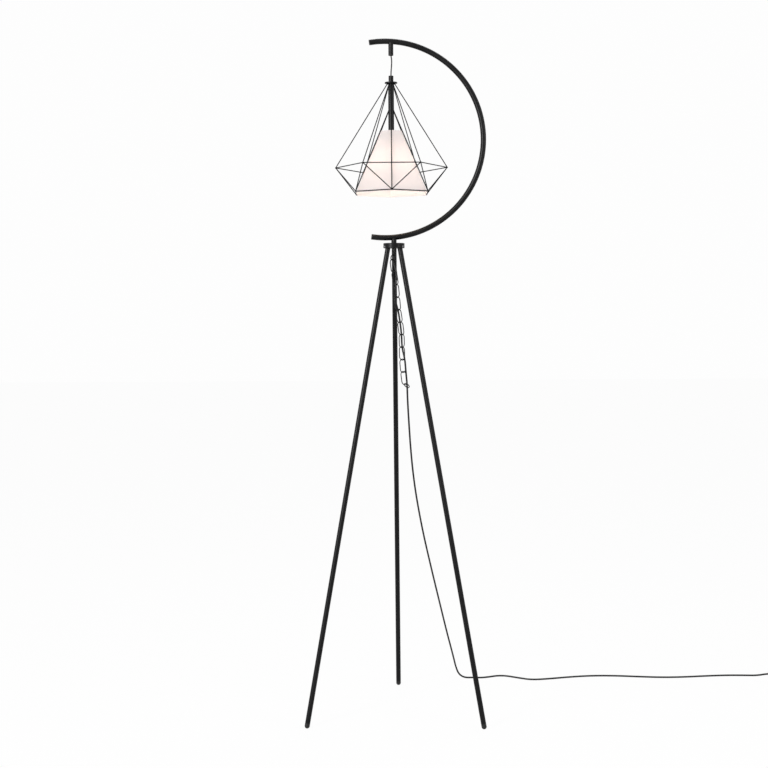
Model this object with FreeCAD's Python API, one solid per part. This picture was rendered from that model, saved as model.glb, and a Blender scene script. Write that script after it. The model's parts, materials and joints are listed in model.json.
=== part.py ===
import FreeCAD, Part
import math
import os

V = FreeCAD.Vector
X_AXIS, Y_AXIS, Z_AXIS = V(1, 0, 0), V(0, 1, 0), V(0, 0, 1)

# A floor lamp: a tripod and a hub carry a C-shaped arm, from which a wire cage with a cloth
# shade hangs on a short cord. A decorative chain hangs under the hub, with the mains cord
# woven through it. Millimetres, +Z up; the origin is on the floor under the hub's axis, the
# arm lies in the XZ plane and opens towards -X.

# ---------------------------------------------------------------- driving dimensions
FLAT_GAP = 0.3              # between parts that only rest on each other
SLIP_GAP = 0.1              # radial, between a plug or screw and its hole

# hub
HUB_DIAMETER = 52.0
HUB_HEIGHT = 12.0
HUB_TOP_Z = 1150.5
HUB_EDGE = 0.8              # rounding of the rims
HUB_GROOVE_WIDTH = 1.0
HUB_GROOVE_DEPTH = 0.5

# tripod
LEG_COUNT = 3
FIRST_LEG_ANGLE = 88.2      # the back leg, degrees from +X
LEG_NAMES = ("back", "left", "right")
LEG_TUBE_DIAMETER = 12.2
LEG_TUBE_WALL = 1.2
LEG_TOP_RADIUS = 17.0       # where a leg's axis meets the hub's underside
LEG_FOOT_RADIUS = 242.0     # where it meets the floor
LEG_SOCKET_DEPTH = 9.0
LEG_JOINT_Z = 767.0         # the seam between upper and lower section
LEG_STUD_LENGTH = 60.0
FOOT_CAP_LENGTH = 6.5       # straight part of the cap under the tube
FOOT_PLUG_LENGTH = 16.0
FOOT_FLAT_DEPTH = 0.5       # how much of the round end is worn flat
GRUB_SCREW_DIAMETER = 4.0
GRUB_SCREW_SOCKET = 2.0     # across the flats of its hexagon
GRUB_SCREW_RECESS = 0.3

# arm
ARM_TUBE_DIAMETER = 13.5
ARM_TUBE_WALL = 1.2
ARM_RADIUS = 240.7          # to the tube's centre line
ARM_CENTRE_X = -20.1
ARM_RISE = 13.7             # from the hub's top to the centre line's lowest point
ARM_TOP_ANGLE = 99.2        # from +X, counted towards +Z
ARM_BOTTOM_ANGLE = -98.4
ARM_CAP_THICKNESS = 2.4
ARM_CAP_PLUG_LENGTH = 6.0
NECK_DIAMETER = 13.0
NIPPLE_DIAMETER = 8.0
NIPPLE_BORE = 5.5
NIPPLE_REACH = 2.4          # how far it stands into the arm's tube
SPIGOT_REACH = 0.6          # the same for the drop stem's spigot

# drop stem under the arm's top
PENDANT_X = -5.0
STEM_DIAMETER = 12.2
STEM_DROP = 35.4            # from the highest point of the arm's centre line to the mouth
STEM_BORE = 5.0
STEM_BUSHING_DIAMETER = 8.8
STEM_BUSHING_DEPTH = 10.0
STEM_LIP = 1.5
FLARE_ANGLE = 31.0          # half angle of the trumpet mouths, wider than any swing
FLARE_DEPTH = 4.5
FLARE_RADIUS = 2.1          # bore at the bottom of the flare

# cords inside the lamp and under the stem
LAMP_WIRE_DIAMETER = 3.2
WIRE_BEND_RADIUS = 6.0

# pendant: cap, tube and lampholder
PENDANT_CORD_SHOWN = 49.7   # between the stem's mouth and the cap
CAP_DIAMETER = 12.0
CAP_HEIGHT = 15.7
WASHER_DIAMETER = 31.0
WASHER_THICKNESS = 3.0
SPIGOT_DIAMETER = 8.0
SPIGOT_LENGTH = 9.2
TUBE_DIAMETER = 14.2
TUBE_WALL = 1.2
TUBE_TOP_WALL = 3.0
TUBE_LENGTH = 125.8
SOCKET_NECK_DIAMETER = 18.0
SOCKET_NECK_HEIGHT = 8.0
SOCKET_DIAMETER = 35.0
SOCKET_SHOULDER = 9.0
SOCKET_BODY_HEIGHT = 38.0
SOCKET_WALL = 2.6
SLEEVE_DIAMETER = 27.8
SLEEVE_WALL = 0.5
SLEEVE_HEIGHT = 29.0
BULB_BASE_DIAMETER = 26.0
BULB_BASE_HEIGHT = 25.0
BULB_DIAMETER = 48.0
BULB_GLASS_HEIGHT = 76.0
BULB_NECK_DIAMETER = 24.0
BULB_WALL = 1.0

# wire cage
WIRE_DIAMETER = 2.4
RIB_DIAMETER = 2.7
WELD_GAP = 0.02             # left at the ends of wires that are welded to each other
CAGE_SIDES = 6
CAGE_TOP_RADIUS = 8.6       # where the upper wires meet the washer
WAIST_RADIUS = 136.7
UPPER_CAGE_HEIGHT = 206.0    # from the washer's underside to the waist
RIM_RADIUS = 100.6
LOWER_CAGE_HEIGHT = 61.7     # from the waist to the rim
RIB_DROP = 67.1              # of the ribs' upper ends under the washer
SHADE_DROP = 48.3            # of the cloth's upper edge under the ribs' upper ends
SHADE_OVERHANG = 2.5         # of the cloth under the rim's centre line, to hide the rim from inside
SHADE_WALL = 0.8

# chain
LINK_WIRE = 2.3
LINK_HALF_WIDTH = 8.85      # centre line
LINK_PITCH = 30.9
LINK_COUNT = 10
LINK_PLAY = 0.3
RING_RADIUS = 7.0
END_RING_TURN = 30.0        # of the ring round the cord, about the way it hangs
EYE_RADIUS = 4.7
EYE_X = -1.0
EYE_Y = -9.0
EYE_DROP = 14.1             # ring centre under the hub
EYE_SHANK = 4.0             # diameter
EYE_THREAD = 7.0
CHAIN_LINE = [
    V(-4.2, -9.0, 1110.0), V(6.0, -3.9, 1034.0), V(7.6, 0.6, 1003.0), V(11.0, 2.8, 973.0),
    V(16.8, 5.4, 942.0), V(18.4, 7.9, 911.0), V(18.0, 10.4, 879.5), V(19.4, 13.4, 848.0),
    V(24.6, 17.2, 806.0),
]

# mains cord
CORD_DIAMETER = 4.5
CORD_GAP = 0.3
CORD_START_Z = 1142.0
BUSHING_DIAMETER = 9.0
BUSHING_DEPTH = 5.5
BUSHING_FLANGE = 12.0
BUSHING_LIP = 1.2
CORD_ROUTE = [
    V(0, 0, CORD_START_Z), V(0, 0, 1130.0),
    # woven down the chain
    V(-4.2, -2, 1110), V(7, -6.9, 1079.4), V(4, -12.1, 1048.9), V(-0.4, -1.6, 1018.3),
    V(9.3, 8.9, 987.7), V(14, 10.8, 957.2), V(17.6, 13.2, 926.6), V(18.2, 16.1, 895.8),
    V(25.6, 11.8, 865.1), V(27.7, 14.6, 834.4), V(30.7, 17.4, 803.8),
    # hanging free to the floor
    V(31.6, 23.5, 765), V(35, 36.8, 705), V(38.9, 52.6, 645), V(44.4, 70.3, 585), V(52.2, 89.6, 525),
    V(62.5, 110.1, 465), V(74.2, 131.6, 405), V(87.6, 154.2, 345), V(101.2, 177.6, 285), V(115.3, 202, 225),
    V(128, 225, 170), V(138.8, 244.4, 125), V(147.7, 259.5, 90), V(154.6, 272, 62), V(160.5, 283, 36),
    V(168.5, 290.5, 14),
    # along the floor
    V(184, 296.5, 2.25), V(207, 297, 2.25), V(236, 294, 2.25), V(285, 319, 2.25),
    V(330, 290, 2.25), V(362, 272, 2.25), V(410, 281, 2.25), V(470, 298, 2.25),
    V(530, 308, 2.25), V(590, 306, 2.25), V(650, 296, 2.25), V(710, 288, 2.25),
    V(770, 290, 2.25), V(830, 299, 2.25), V(890, 305, 2.25), V(938, 303, 2.25),
    V(969, 299.5, 2.6), V(999, 298, 8), V(1035, 298, 8),
]

# foot switch, in line on the floor
SWITCH_X = 1060.0           # its middle
SWITCH_Y = 298.0
SWITCH_AXIS_Z = 8.0
SWITCH_LENGTH = 58.0
SWITCH_WIDTH = 28.0
SWITCH_HEIGHT = 19.0
SWITCH_CORNER = 7.0
SWITCH_WALL = 2.0
SWITCH_TOP_EDGE = 3.0
RELIEF_LENGTH = 20.0
RELIEF_BIG = 9.0
RELIEF_SMALL = 6.4
BUTTON_DIAMETER = 20.0
BUTTON_RISE = 3.0
BUTTON_TRAVEL = 2.0
BUTTON_FLANGE = 1.5         # how far its rim reaches under the cover
BUTTON_SIDE_GAP = 0.35
BUTTON_STEM = 4.0
MODULE_LENGTH = 24.0
MODULE_WIDTH = 15.0
MODULE_HEIGHT = 6.5

# put-away lead: from the switch to a coil and the plug
LEAD_ROUTE = [V(1085, 298, 8), V(1114, 298, 8), V(1144, 294.8, 4.4)]
COIL_RUN_IN = 18.0          # straight runs in line with the coil's two ends
COIL_RUN_OUT = 14.0
COIL_CENTRE = V(1182, 262, 3.45)
COIL_OUTER_RADIUS = 30.0
COIL_PITCH = 5.0            # from turn to turn and from layer to layer
COIL_TURNS_IN = 2.0
COIL_TURNS_CLIMB = 0.5
COIL_TURNS_OUT = 1.75
COIL_START_ANGLE = 90.0
TIE_AT_TURN = 0.7
TIE_WIDTH = 4.0
TIE_THICKNESS = 0.9
TAIL_ROUTE = [V(1212, 230, 9), V(1212, 214.5, 9)]
PLUG_RELIEF_Y = 224.0       # tip of the plug's strain relief
PLUG_RELIEF_LENGTH = 20.0
PLUG_LENGTH = 27.0
PLUG_WIDTH = 25.0
PLUG_THICKNESS = 18.0
PLUG_EDGE = 3.0
BLADE_LENGTH = 17.0
BLADE_WIDTH = 6.4
BLADE_THICKNESS = 1.5
BLADE_SPACING = 12.7

# ---------------------------------------------------------------- derived places
HUB_BOTTOM_Z = HUB_TOP_Z - HUB_HEIGHT
ARM_CENTRE_Z = HUB_TOP_Z + ARM_RISE + ARM_RADIUS
ARM_CENTRE = V(ARM_CENTRE_X, 0, ARM_CENTRE_Z)
STEM_MOUTH_Z = ARM_CENTRE_Z + ARM_RADIUS - STEM_DROP
CAP_TOP_Z = STEM_MOUTH_Z - PENDANT_CORD_SHOWN
WASHER_TOP_Z = CAP_TOP_Z - CAP_HEIGHT
WASHER_Z = WASHER_TOP_Z - WASHER_THICKNESS
TUBE_BOTTOM_Z = WASHER_Z - TUBE_LENGTH
WAIST_Z = WASHER_Z - UPPER_CAGE_HEIGHT
RIM_Z = WAIST_Z - LOWER_CAGE_HEIGHT
RIB_TOP_Z = WASHER_Z - RIB_DROP
SHADE_TOP_Z = RIB_TOP_Z - SHADE_DROP
SHADE_BOTTOM_Z = RIM_Z - SHADE_OVERHANG
STEM_PIVOT_Z = STEM_MOUTH_Z + FLARE_DEPTH
CAP_PIVOT_Z = CAP_TOP_Z - FLARE_DEPTH
CORD_RADIUS = CORD_DIAMETER / 2
CORD_BORE = CORD_RADIUS + CORD_GAP
LAMP_WIRE_RADIUS = LAMP_WIRE_DIAMETER / 2
LINK_REACH = LINK_WIRE / 2 + LINK_PLAY / 2    # from a joint of the chain to the wire's centre

parts = {}


# ---------------------------------------------------------------- helpers
def cylinder(diameter, bottom, top):
    return Part.makeCylinder(diameter / 2, (top - bottom).Length, bottom, top - bottom)


def pipe(diameter, wall, bottom, top):
    return cylinder(diameter, bottom, top).cut(cylinder(diameter - 2 * wall, bottom, top))


def disc(diameter, z0, z1, x=0.0, y=0.0):
    return cylinder(diameter, V(x, y, z0), V(x, y, z1))


def turned(outline, x=0.0, y=0.0):
    """A solid of revolution about the vertical line at x, y. The outline holds corners (radius, z),
    and a third value rounds that corner to that radius."""
    edges = []
    count = len(outline)
    corners = [V(p[0], 0, p[1]) for p in outline]
    ends = []
    for i, point in enumerate(outline):
        here = corners[i]
        if len(point) < 3:
            ends.append((here, here))
            continue
        to_last = (corners[i - 1] - here).normalize()
        to_next = (corners[(i + 1) % count] - here).normalize()
        half = to_last.getAngle(to_next) / 2
        setback = point[2] / math.tan(half)
        middle = (to_last + to_next).normalize() * (point[2] / math.sin(half) - point[2])
        first, last = here + to_last * setback, here + to_next * setback
        edges.append(Part.Arc(first, here + middle, last).toShape())
        ends.append((first, last))
    for i in range(count):
        a, b = ends[i][1], ends[(i + 1) % count][0]
        if (b - a).Length > 1e-6:
            edges.append(Part.LineSegment(a, b).toShape())
    wire = Part.Wire(Part.__sortEdges__(edges))
    solid = Part.Face(wire).revolve(V(0, 0, 0), Z_AXIS, 360)
    solid.translate(V(x, y, 0))
    return solid


def rounded_box(low, high, corner, edge=0.0, edge_z=None):
    """A box with rounded vertical corners, and the rim at height edge_z rounded by edge."""
    box = Part.makeBox(high.x - low.x, high.y - low.y, high.z - low.z, low)
    upright = [e for e in box.Edges if abs(e.tangentAt(e.FirstParameter).z) > 0.99]
    box = box.makeFillet(corner, upright)
    if edge:
        rim = [
            e for e in box.Edges
            if abs(e.BoundBox.ZMin - edge_z) < 1e-6 and abs(e.BoundBox.ZMax - edge_z) < 1e-6
        ]
        box = box.makeFillet(edge, rim)
    return box


def largest(shape):
    return max(shape.Solids, key=lambda s: s.Volume)


def unit_at(angle):
    return V(math.cos(math.radians(angle)), math.sin(math.radians(angle)), 0)


def cage_point(radius, z, angle):
    return V(PENDANT_X, 0, z) + unit_at(angle) * radius


# ---------------------------------------------------------------- tripod and hub
def leg_axis(angle):
    """The foot and hub ends of a leg's axis, and its direction upwards."""
    foot = unit_at(angle) * LEG_FOOT_RADIUS
    top = unit_at(angle) * LEG_TOP_RADIUS + V(0, 0, HUB_BOTTOM_Z)
    return foot, top, (top - foot).normalize()


def make_leg(name, angle):
    foot, top, up = leg_axis(angle)
    joint = foot + up * (LEG_JOINT_Z / up.z)
    radius = LEG_TUBE_DIAMETER / 2
    bore = LEG_TUBE_DIAMETER - 2 * LEG_TUBE_WALL - 2 * SLIP_GAP
    round_centre = foot + up * ((radius - FOOT_FLAT_DEPTH) / up.z)
    seat = round_centre + up * FOOT_CAP_LENGTH

    parts["leg_upper_" + name] = pipe(
        LEG_TUBE_DIAMETER, LEG_TUBE_WALL, joint, top + up * LEG_SOCKET_DEPTH)
    parts["leg_lower_" + name] = pipe(LEG_TUBE_DIAMETER, LEG_TUBE_WALL, seat, joint)
    parts["leg_stud_" + name] = cylinder(
        bore, joint - up * (LEG_STUD_LENGTH / 2), joint + up * (LEG_STUD_LENGTH / 2))

    cap = cylinder(LEG_TUBE_DIAMETER, round_centre, seat).fuse(Part.makeSphere(radius, round_centre))
    cap = cap.fuse(cylinder(bore, seat, seat + up * FOOT_PLUG_LENGTH)).removeSplitter()
    below = Part.makeBox(4 * radius, 4 * radius, 2 * radius, foot - V(2 * radius, 2 * radius, 2 * radius))
    parts["foot_cap_" + name] = cap.cut(below)


def make_hub(angles):
    rim = HUB_DIAMETER / 2
    middle = (HUB_TOP_Z + HUB_BOTTOM_Z) / 2
    half_groove = HUB_GROOVE_WIDTH / 2
    hub = turned([
        (0, HUB_BOTTOM_Z), (rim, HUB_BOTTOM_Z, HUB_EDGE),
        (rim, middle - half_groove), (rim - HUB_GROOVE_DEPTH, middle - half_groove),
        (rim - HUB_GROOVE_DEPTH, middle + half_groove), (rim, middle + half_groove),
        (rim, HUB_TOP_Z, HUB_EDGE), (0, HUB_TOP_Z),
    ])
    hub = hub.cut(disc(NIPPLE_DIAMETER + 2 * SLIP_GAP, HUB_BOTTOM_Z - 1, HUB_TOP_Z + 1))
    hub = hub.cut(disc(
        BUSHING_DIAMETER + 2 * SLIP_GAP, HUB_BOTTOM_Z - 1, HUB_BOTTOM_Z + BUSHING_DEPTH))
    hub = hub.cut(disc(
        EYE_SHANK + 2 * SLIP_GAP, HUB_BOTTOM_Z - 1, HUB_BOTTOM_Z + EYE_THREAD + 1, EYE_X, EYE_Y))
    screws = []
    for angle in angles:
        foot, top, up = leg_axis(angle)
        end = top + up * (LEG_SOCKET_DEPTH + SLIP_GAP)
        hub = hub.cut(cylinder(LEG_TUBE_DIAMETER + 2 * SLIP_GAP, top - up * 6, end))
        # a grub screw in the rim clamps the leg
        outwards = unit_at(angle)
        screw_z = HUB_BOTTOM_Z + LEG_SOCKET_DEPTH * 0.4
        axis_point = top + up * ((screw_z - top.z) / up.z)
        slant = math.tan(up.getAngle(Z_AXIS))
        inner = V(axis_point.x, axis_point.y, screw_z) + outwards * (
            LEG_TUBE_DIAMETER / 2 / up.z + GRUB_SCREW_DIAMETER / 2 * slant + SLIP_GAP)
        outer = outwards * (rim - GRUB_SCREW_RECESS) + V(0, 0, screw_z)
        hub = hub.cut(cylinder(GRUB_SCREW_DIAMETER + 2 * SLIP_GAP, inner, outer + outwards * 2))
        screw = cylinder(GRUB_SCREW_DIAMETER, inner, outer)
        hexagon = Part.makePolygon([
            outer + outwards.cross(Z_AXIS) * (c * GRUB_SCREW_SOCKET * 0.577)
            + Z_AXIS * (s * GRUB_SCREW_SOCKET * 0.577)
            for c, s in [(math.cos(math.radians(60 * k)), math.sin(math.radians(60 * k))) for k in range(7)]
        ])
        recess = Part.Face(hexagon).extrude(outwards * -GRUB_SCREW_SOCKET)
        screws.append(screw.cut(recess))
    parts["hub"] = hub
    parts["grub_screws"] = Part.makeCompound(screws)


# ---------------------------------------------------------------- arm
def arm_point(angle, radius=ARM_RADIUS):
    a = math.radians(angle)
    return ARM_CENTRE + V(math.cos(a), 0, math.sin(a)) * radius


def arm_solid(diameter, start, end):
    a = math.radians(start)
    along = V(-math.sin(a), 0, math.cos(a))
    ring = Part.Face(Part.Wire(Part.makeCircle(diameter / 2, arm_point(start), along)))
    return ring.revolve(ARM_CENTRE, -Y_AXIS, end - start)


def arm_height(x, side):
    """The centre line's height where it passes x, above (1) or below (-1) the arm's centre."""
    return ARM_CENTRE_Z + side * math.sqrt(ARM_RADIUS ** 2 - (x - ARM_CENTRE_X) ** 2)


def make_arm():
    cap_angle = math.degrees(ARM_CAP_THICKNESS / ARM_RADIUS)
    start, end = ARM_BOTTOM_ANGLE + cap_angle, ARM_TOP_ANGLE - cap_angle
    outside = arm_solid(ARM_TUBE_DIAMETER, start, end)
    inside = arm_solid(ARM_TUBE_DIAMETER - 2 * ARM_TUBE_WALL, start, end)
    low, high = arm_height(0, -1), arm_height(PENDANT_X, 1)
    neck_hole = disc(NIPPLE_DIAMETER + 2 * SLIP_GAP, HUB_TOP_Z, low)
    stem_hole = disc(SPIGOT_DIAMETER + 2 * SLIP_GAP, STEM_MOUTH_Z, high, PENDANT_X)
    parts["c_arm"] = outside.cut(inside).cut(neck_hole).cut(stem_hole)

    bore = ARM_TUBE_DIAMETER - 2 * ARM_TUBE_WALL - 4 * SLIP_GAP
    for name, angle, way in (("top", end, 1), ("bottom", start, -1)):
        a = math.radians(angle)
        out = V(-math.sin(a), 0, math.cos(a)) * way
        face = arm_point(angle)
        head = cylinder(ARM_TUBE_DIAMETER, face, face + out * ARM_CAP_THICKNESS)
        rim = [
            e for e in head.Edges
            if len(e.Vertexes) == 1 and (e.CenterOfMass - face).dot(out) > ARM_CAP_THICKNESS / 2
        ]
        head = head.makeFillet(ARM_CAP_THICKNESS * 0.5, rim)
        parts["arm_cap_" + name] = head.fuse(cylinder(bore, face - out * ARM_CAP_PLUG_LENGTH, face))

    bottom_of_arm = low - ARM_TUBE_DIAMETER / 2
    neck = disc(NECK_DIAMETER, HUB_TOP_Z, low).cut(outside)
    parts["neck_spacer"] = largest(neck).cut(disc(NIPPLE_DIAMETER + 2 * SLIP_GAP, HUB_TOP_Z, low))
    nipple_low, nipple_high = HUB_BOTTOM_Z + BUSHING_DEPTH, bottom_of_arm + ARM_TUBE_WALL + NIPPLE_REACH
    parts["arm_nipple"] = pipe(
        NIPPLE_DIAMETER, (NIPPLE_DIAMETER - NIPPLE_BORE) / 2, V(0, 0, nipple_low), V(0, 0, nipple_high))

    under_top = high - ARM_TUBE_DIAMETER / 2
    bushing_top = STEM_MOUTH_Z + STEM_LIP + STEM_BUSHING_DEPTH
    stem = disc(STEM_DIAMETER, STEM_MOUTH_Z + STEM_LIP, high, PENDANT_X).cut(outside)
    stem = largest(stem).fuse(disc(
        SPIGOT_DIAMETER, bushing_top, under_top + ARM_TUBE_WALL + SPIGOT_REACH, PENDANT_X))
    stem = stem.cut(disc(STEM_BORE, STEM_MOUTH_Z, high, PENDANT_X))
    stem = stem.cut(disc(STEM_BUSHING_DIAMETER + 2 * SLIP_GAP, STEM_MOUTH_Z, bushing_top, PENDANT_X))
    parts["drop_stem"] = stem.removeSplitter()

    mouth = FLARE_RADIUS + FLARE_DEPTH * math.tan(math.radians(FLARE_ANGLE))
    shoulder = STEM_MOUTH_Z + STEM_LIP
    parts["stem_bushing"] = turned([
        (mouth, STEM_MOUTH_Z), (STEM_DIAMETER / 2, STEM_MOUTH_Z, 0.9), (STEM_DIAMETER / 2, shoulder),
        (STEM_BUSHING_DIAMETER / 2, shoulder), (STEM_BUSHING_DIAMETER / 2, bushing_top),
        (FLARE_RADIUS, bushing_top), (FLARE_RADIUS, STEM_PIVOT_Z),
    ], PENDANT_X)


def make_arm_wire():
    """The lamp's own wire: up the neck, round inside the arm and down into the stem."""
    bend = WIRE_BEND_RADIUS
    outer = ARM_RADIUS + bend
    low_centre = V(bend, 0, ARM_CENTRE_Z - math.sqrt(outer ** 2 - (bend - ARM_CENTRE_X) ** 2))
    low_meet = ARM_CENTRE + (low_centre - ARM_CENTRE) * (ARM_RADIUS / outer)
    inner = ARM_RADIUS - bend
    top_x = PENDANT_X + bend
    top_centre = V(top_x, 0, ARM_CENTRE_Z + math.sqrt(inner ** 2 - (top_x - ARM_CENTRE_X) ** 2))
    top_meet = ARM_CENTRE + (top_centre - ARM_CENTRE) * (ARM_RADIUS / inner)
    start = V(0, 0, CORD_START_Z + FLAT_GAP)
    low_turn, top_turn = V(0, 0, low_centre.z), V(PENDANT_X, 0, top_centre.z)
    end = V(PENDANT_X, 0, STEM_PIVOT_Z + LAMP_WIRE_RADIUS + FLAT_GAP)

    def bulge(centre, a, b):
        return centre + ((a - centre) + (b - centre)).normalize() * bend

    path = Part.Wire([
        Part.LineSegment(start, low_turn).toShape(),
        Part.Arc(low_turn, bulge(low_centre, low_turn, low_meet), low_meet).toShape(),
        Part.Arc(low_meet, arm_point(0), top_meet).toShape(),
        Part.Arc(top_meet, bulge(top_centre, top_meet, top_turn), top_turn).toShape(),
        Part.LineSegment(top_turn, end).toShape(),
    ])
    parts["arm_wire"] = sweep(path, LAMP_WIRE_DIAMETER, start, Z_AXIS)


# ---------------------------------------------------------------- pendant
def make_pendant_cord():
    """Hangs between two trumpet mouths, and pivots in each on its own round end."""
    top, bottom = V(PENDANT_X, 0, STEM_PIVOT_Z), V(PENDANT_X, 0, CAP_PIVOT_Z)
    cord = cylinder(LAMP_WIRE_DIAMETER, bottom, top)
    for end in (top, bottom):
        cord = cord.fuse(Part.makeSphere(LAMP_WIRE_RADIUS, end))
    parts["pendant_cord"] = cord.removeSplitter()


def make_holder():
    mouth = FLARE_RADIUS + FLARE_DEPTH * math.tan(math.radians(FLARE_ANGLE))
    spigot_top = WASHER_TOP_Z + SPIGOT_LENGTH
    socket_radius = SPIGOT_DIAMETER / 2 + SLIP_GAP
    parts["cord_cap"] = turned([
        (socket_radius, WASHER_TOP_Z), (CAP_DIAMETER / 2, WASHER_TOP_Z), (CAP_DIAMETER / 2, CAP_TOP_Z, 0.5),
        (mouth, CAP_TOP_Z), (FLARE_RADIUS, CAP_PIVOT_Z), (FLARE_RADIUS, spigot_top + FLAT_GAP),
        (socket_radius, spigot_top + FLAT_GAP),
    ], PENDANT_X)
    parts["cage_washer"] = turned([
        (socket_radius, WASHER_Z), (WASHER_DIAMETER / 2, WASHER_Z, 0.6),
        (WASHER_DIAMETER / 2, WASHER_TOP_Z, 0.6), (socket_radius, WASHER_TOP_Z),
    ], PENDANT_X)
    outer, inner = TUBE_DIAMETER / 2, TUBE_DIAMETER / 2 - TUBE_WALL
    parts["holder_tube"] = turned([
        (inner, TUBE_BOTTOM_Z), (outer, TUBE_BOTTOM_Z), (outer, WASHER_Z), (SPIGOT_DIAMETER / 2, WASHER_Z),
        (SPIGOT_DIAMETER / 2, spigot_top), (FLARE_RADIUS, spigot_top), (FLARE_RADIUS, WASHER_Z - TUBE_TOP_WALL),
        (inner, WASHER_Z - TUBE_TOP_WALL),
    ], PENDANT_X)
    make_lampholder()
    parts["tube_wire"] = disc(
        LAMP_WIRE_DIAMETER, socket_ceiling() + 1.0 + FLAT_GAP,
        CAP_PIVOT_Z - LAMP_WIRE_RADIUS - FLAT_GAP, PENDANT_X)


def socket_ceiling():
    """The top of the lampholder's inside, where the centre contact is riveted."""
    return TUBE_BOTTOM_Z - SOCKET_SHOULDER - 1.0


def make_lampholder():
    neck_bore = TUBE_DIAMETER / 2 + SLIP_GAP
    neck_top = TUBE_BOTTOM_Z + SOCKET_NECK_HEIGHT
    body_top = TUBE_BOTTOM_Z - SOCKET_SHOULDER
    bottom = body_top - SOCKET_BODY_HEIGHT
    ceiling = socket_ceiling()
    outer, inner = SOCKET_DIAMETER / 2, SOCKET_DIAMETER / 2 - SOCKET_WALL
    wire_bore = LAMP_WIRE_RADIUS + FLAT_GAP
    parts["socket_body"] = turned([
        (inner, bottom), (outer, bottom, 1.0), (outer, body_top, 3.0),
        (SOCKET_NECK_DIAMETER / 2, TUBE_BOTTOM_Z - 1, 2.0), (SOCKET_NECK_DIAMETER / 2, neck_top, 1.0),
        (neck_bore, neck_top), (neck_bore, TUBE_BOTTOM_Z), (wire_bore, TUBE_BOTTOM_Z),
        (wire_bore, ceiling), (inner, ceiling, 1.5),
    ], PENDANT_X)
    sleeve_top = ceiling - 2.5
    shell = SLEEVE_DIAMETER / 2
    parts["socket_sleeve"] = turned([
        (shell - SLEEVE_WALL, sleeve_top - SLEEVE_HEIGHT), (inner - FLAT_GAP, sleeve_top - SLEEVE_HEIGHT),
        (inner - FLAT_GAP, sleeve_top - SLEEVE_HEIGHT + SLEEVE_WALL),
        (shell, sleeve_top - SLEEVE_HEIGHT + SLEEVE_WALL), (shell, sleeve_top),
        (shell - SLEEVE_WALL, sleeve_top),
    ], PENDANT_X)
    base_top = sleeve_top - 2.0
    contact_low = base_top + FLAT_GAP
    parts["socket_contact"] = disc(5.0, contact_low, contact_low + 1.0, PENDANT_X).fuse(
        disc(3.0, contact_low + 1.0, ceiling + 1.0, PENDANT_X)).removeSplitter()
    base_bottom = base_top - BULB_BASE_HEIGHT
    parts["bulb_base"] = turned([
        (0, base_bottom), (BULB_BASE_DIAMETER / 2, base_bottom), (BULB_BASE_DIAMETER / 2, base_top - 3.5, 1.0),
        (5.0, base_top), (0, base_top),
    ], PENDANT_X)
    globe = BULB_DIAMETER / 2
    centre_z = base_bottom - BULB_GLASS_HEIGHT + globe
    parts["bulb_glass"] = bulb_shape(globe, BULB_NECK_DIAMETER / 2, centre_z, base_bottom).cut(
        bulb_shape(globe - BULB_WALL, BULB_NECK_DIAMETER / 2 - BULB_WALL, centre_z, base_bottom - BULB_WALL))


def bulb_shape(globe, neck, centre_z, top_z):
    """A round globe drawn in to a neck by a tangent hollow curve."""
    hollow = 2.0 * globe
    drop = top_z - centre_z
    # the hollow's centre lies level with the neck's end, and its circle touches the globe's
    offset = math.sqrt((globe + hollow) ** 2 - drop ** 2)
    shift = max(0.0, neck + hollow - offset)
    hollow_centre = V(offset + shift, 0, top_z)
    reach = V(hollow_centre.x, 0, drop).Length
    hollow = reach - globe
    touch = V(hollow_centre.x, 0, drop) * (globe / reach) + V(0, 0, centre_z)
    neck_end = V(hollow_centre.x - hollow, 0, top_z)
    side = V(math.cos(math.radians(-30)) * globe, 0, centre_z + math.sin(math.radians(-30)) * globe)
    toward = ((touch - hollow_centre) + (neck_end - hollow_centre)).normalize() * hollow
    wire = Part.Wire(Part.__sortEdges__([
        Part.Arc(V(0, 0, centre_z - globe), side, touch).toShape(),
        Part.Arc(touch, hollow_centre + toward, neck_end).toShape(),
        Part.LineSegment(neck_end, V(0, 0, top_z)).toShape(),
        Part.LineSegment(V(0, 0, top_z), V(0, 0, centre_z - globe)).toShape(),
    ]))
    solid = Part.Face(wire).revolve(V(0, 0, 0), Z_AXIS, 360)
    solid.translate(V(PENDANT_X, 0, 0))
    return solid


# ---------------------------------------------------------------- wire cage
def ring_rods(radius, z, first_angle, diameter):
    """A hexagon of wires, mitred where they meet."""
    step = 360.0 / CAGE_SIDES
    rods = []
    for k in range(CAGE_SIDES):
        a, b = first_angle + k * step, first_angle + (k + 1) * step
        p, q = cage_point(radius, z, a), cage_point(radius, z, b)
        along = (q - p).normalize()
        rod = cylinder(diameter, p - along * diameter, q + along * diameter)
        # the wedge between the two mitre planes through the pendant's axis
        far = 2 * radius
        wedge = Part.Face(Part.makePolygon([
            V(PENDANT_X, 0, z - diameter), V(PENDANT_X, 0, z - diameter) + unit_at(a) * far,
            V(PENDANT_X, 0, z - diameter) + unit_at(b) * far, V(PENDANT_X, 0, z - diameter),
        ])).extrude(Z_AXIS * (2 * diameter))
        rods.append(rod.common(wedge))
    return rods


def cope_tool(bottom, top, diameter):
    """A wire's outline, a trace thicker and longer than the wire, to shape what meets it."""
    along = (top - bottom).normalize()
    return cylinder(diameter + 2 * WELD_GAP, bottom - along * diameter, top + along * diameter)


def coped(rod, tools):
    """The rod with its ends shaped to the wires that it meets."""
    for tool in tools:
        if tool.BoundBox.intersect(rod.BoundBox):
            rod = largest(rod.cut(tool))
    return rod


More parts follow.
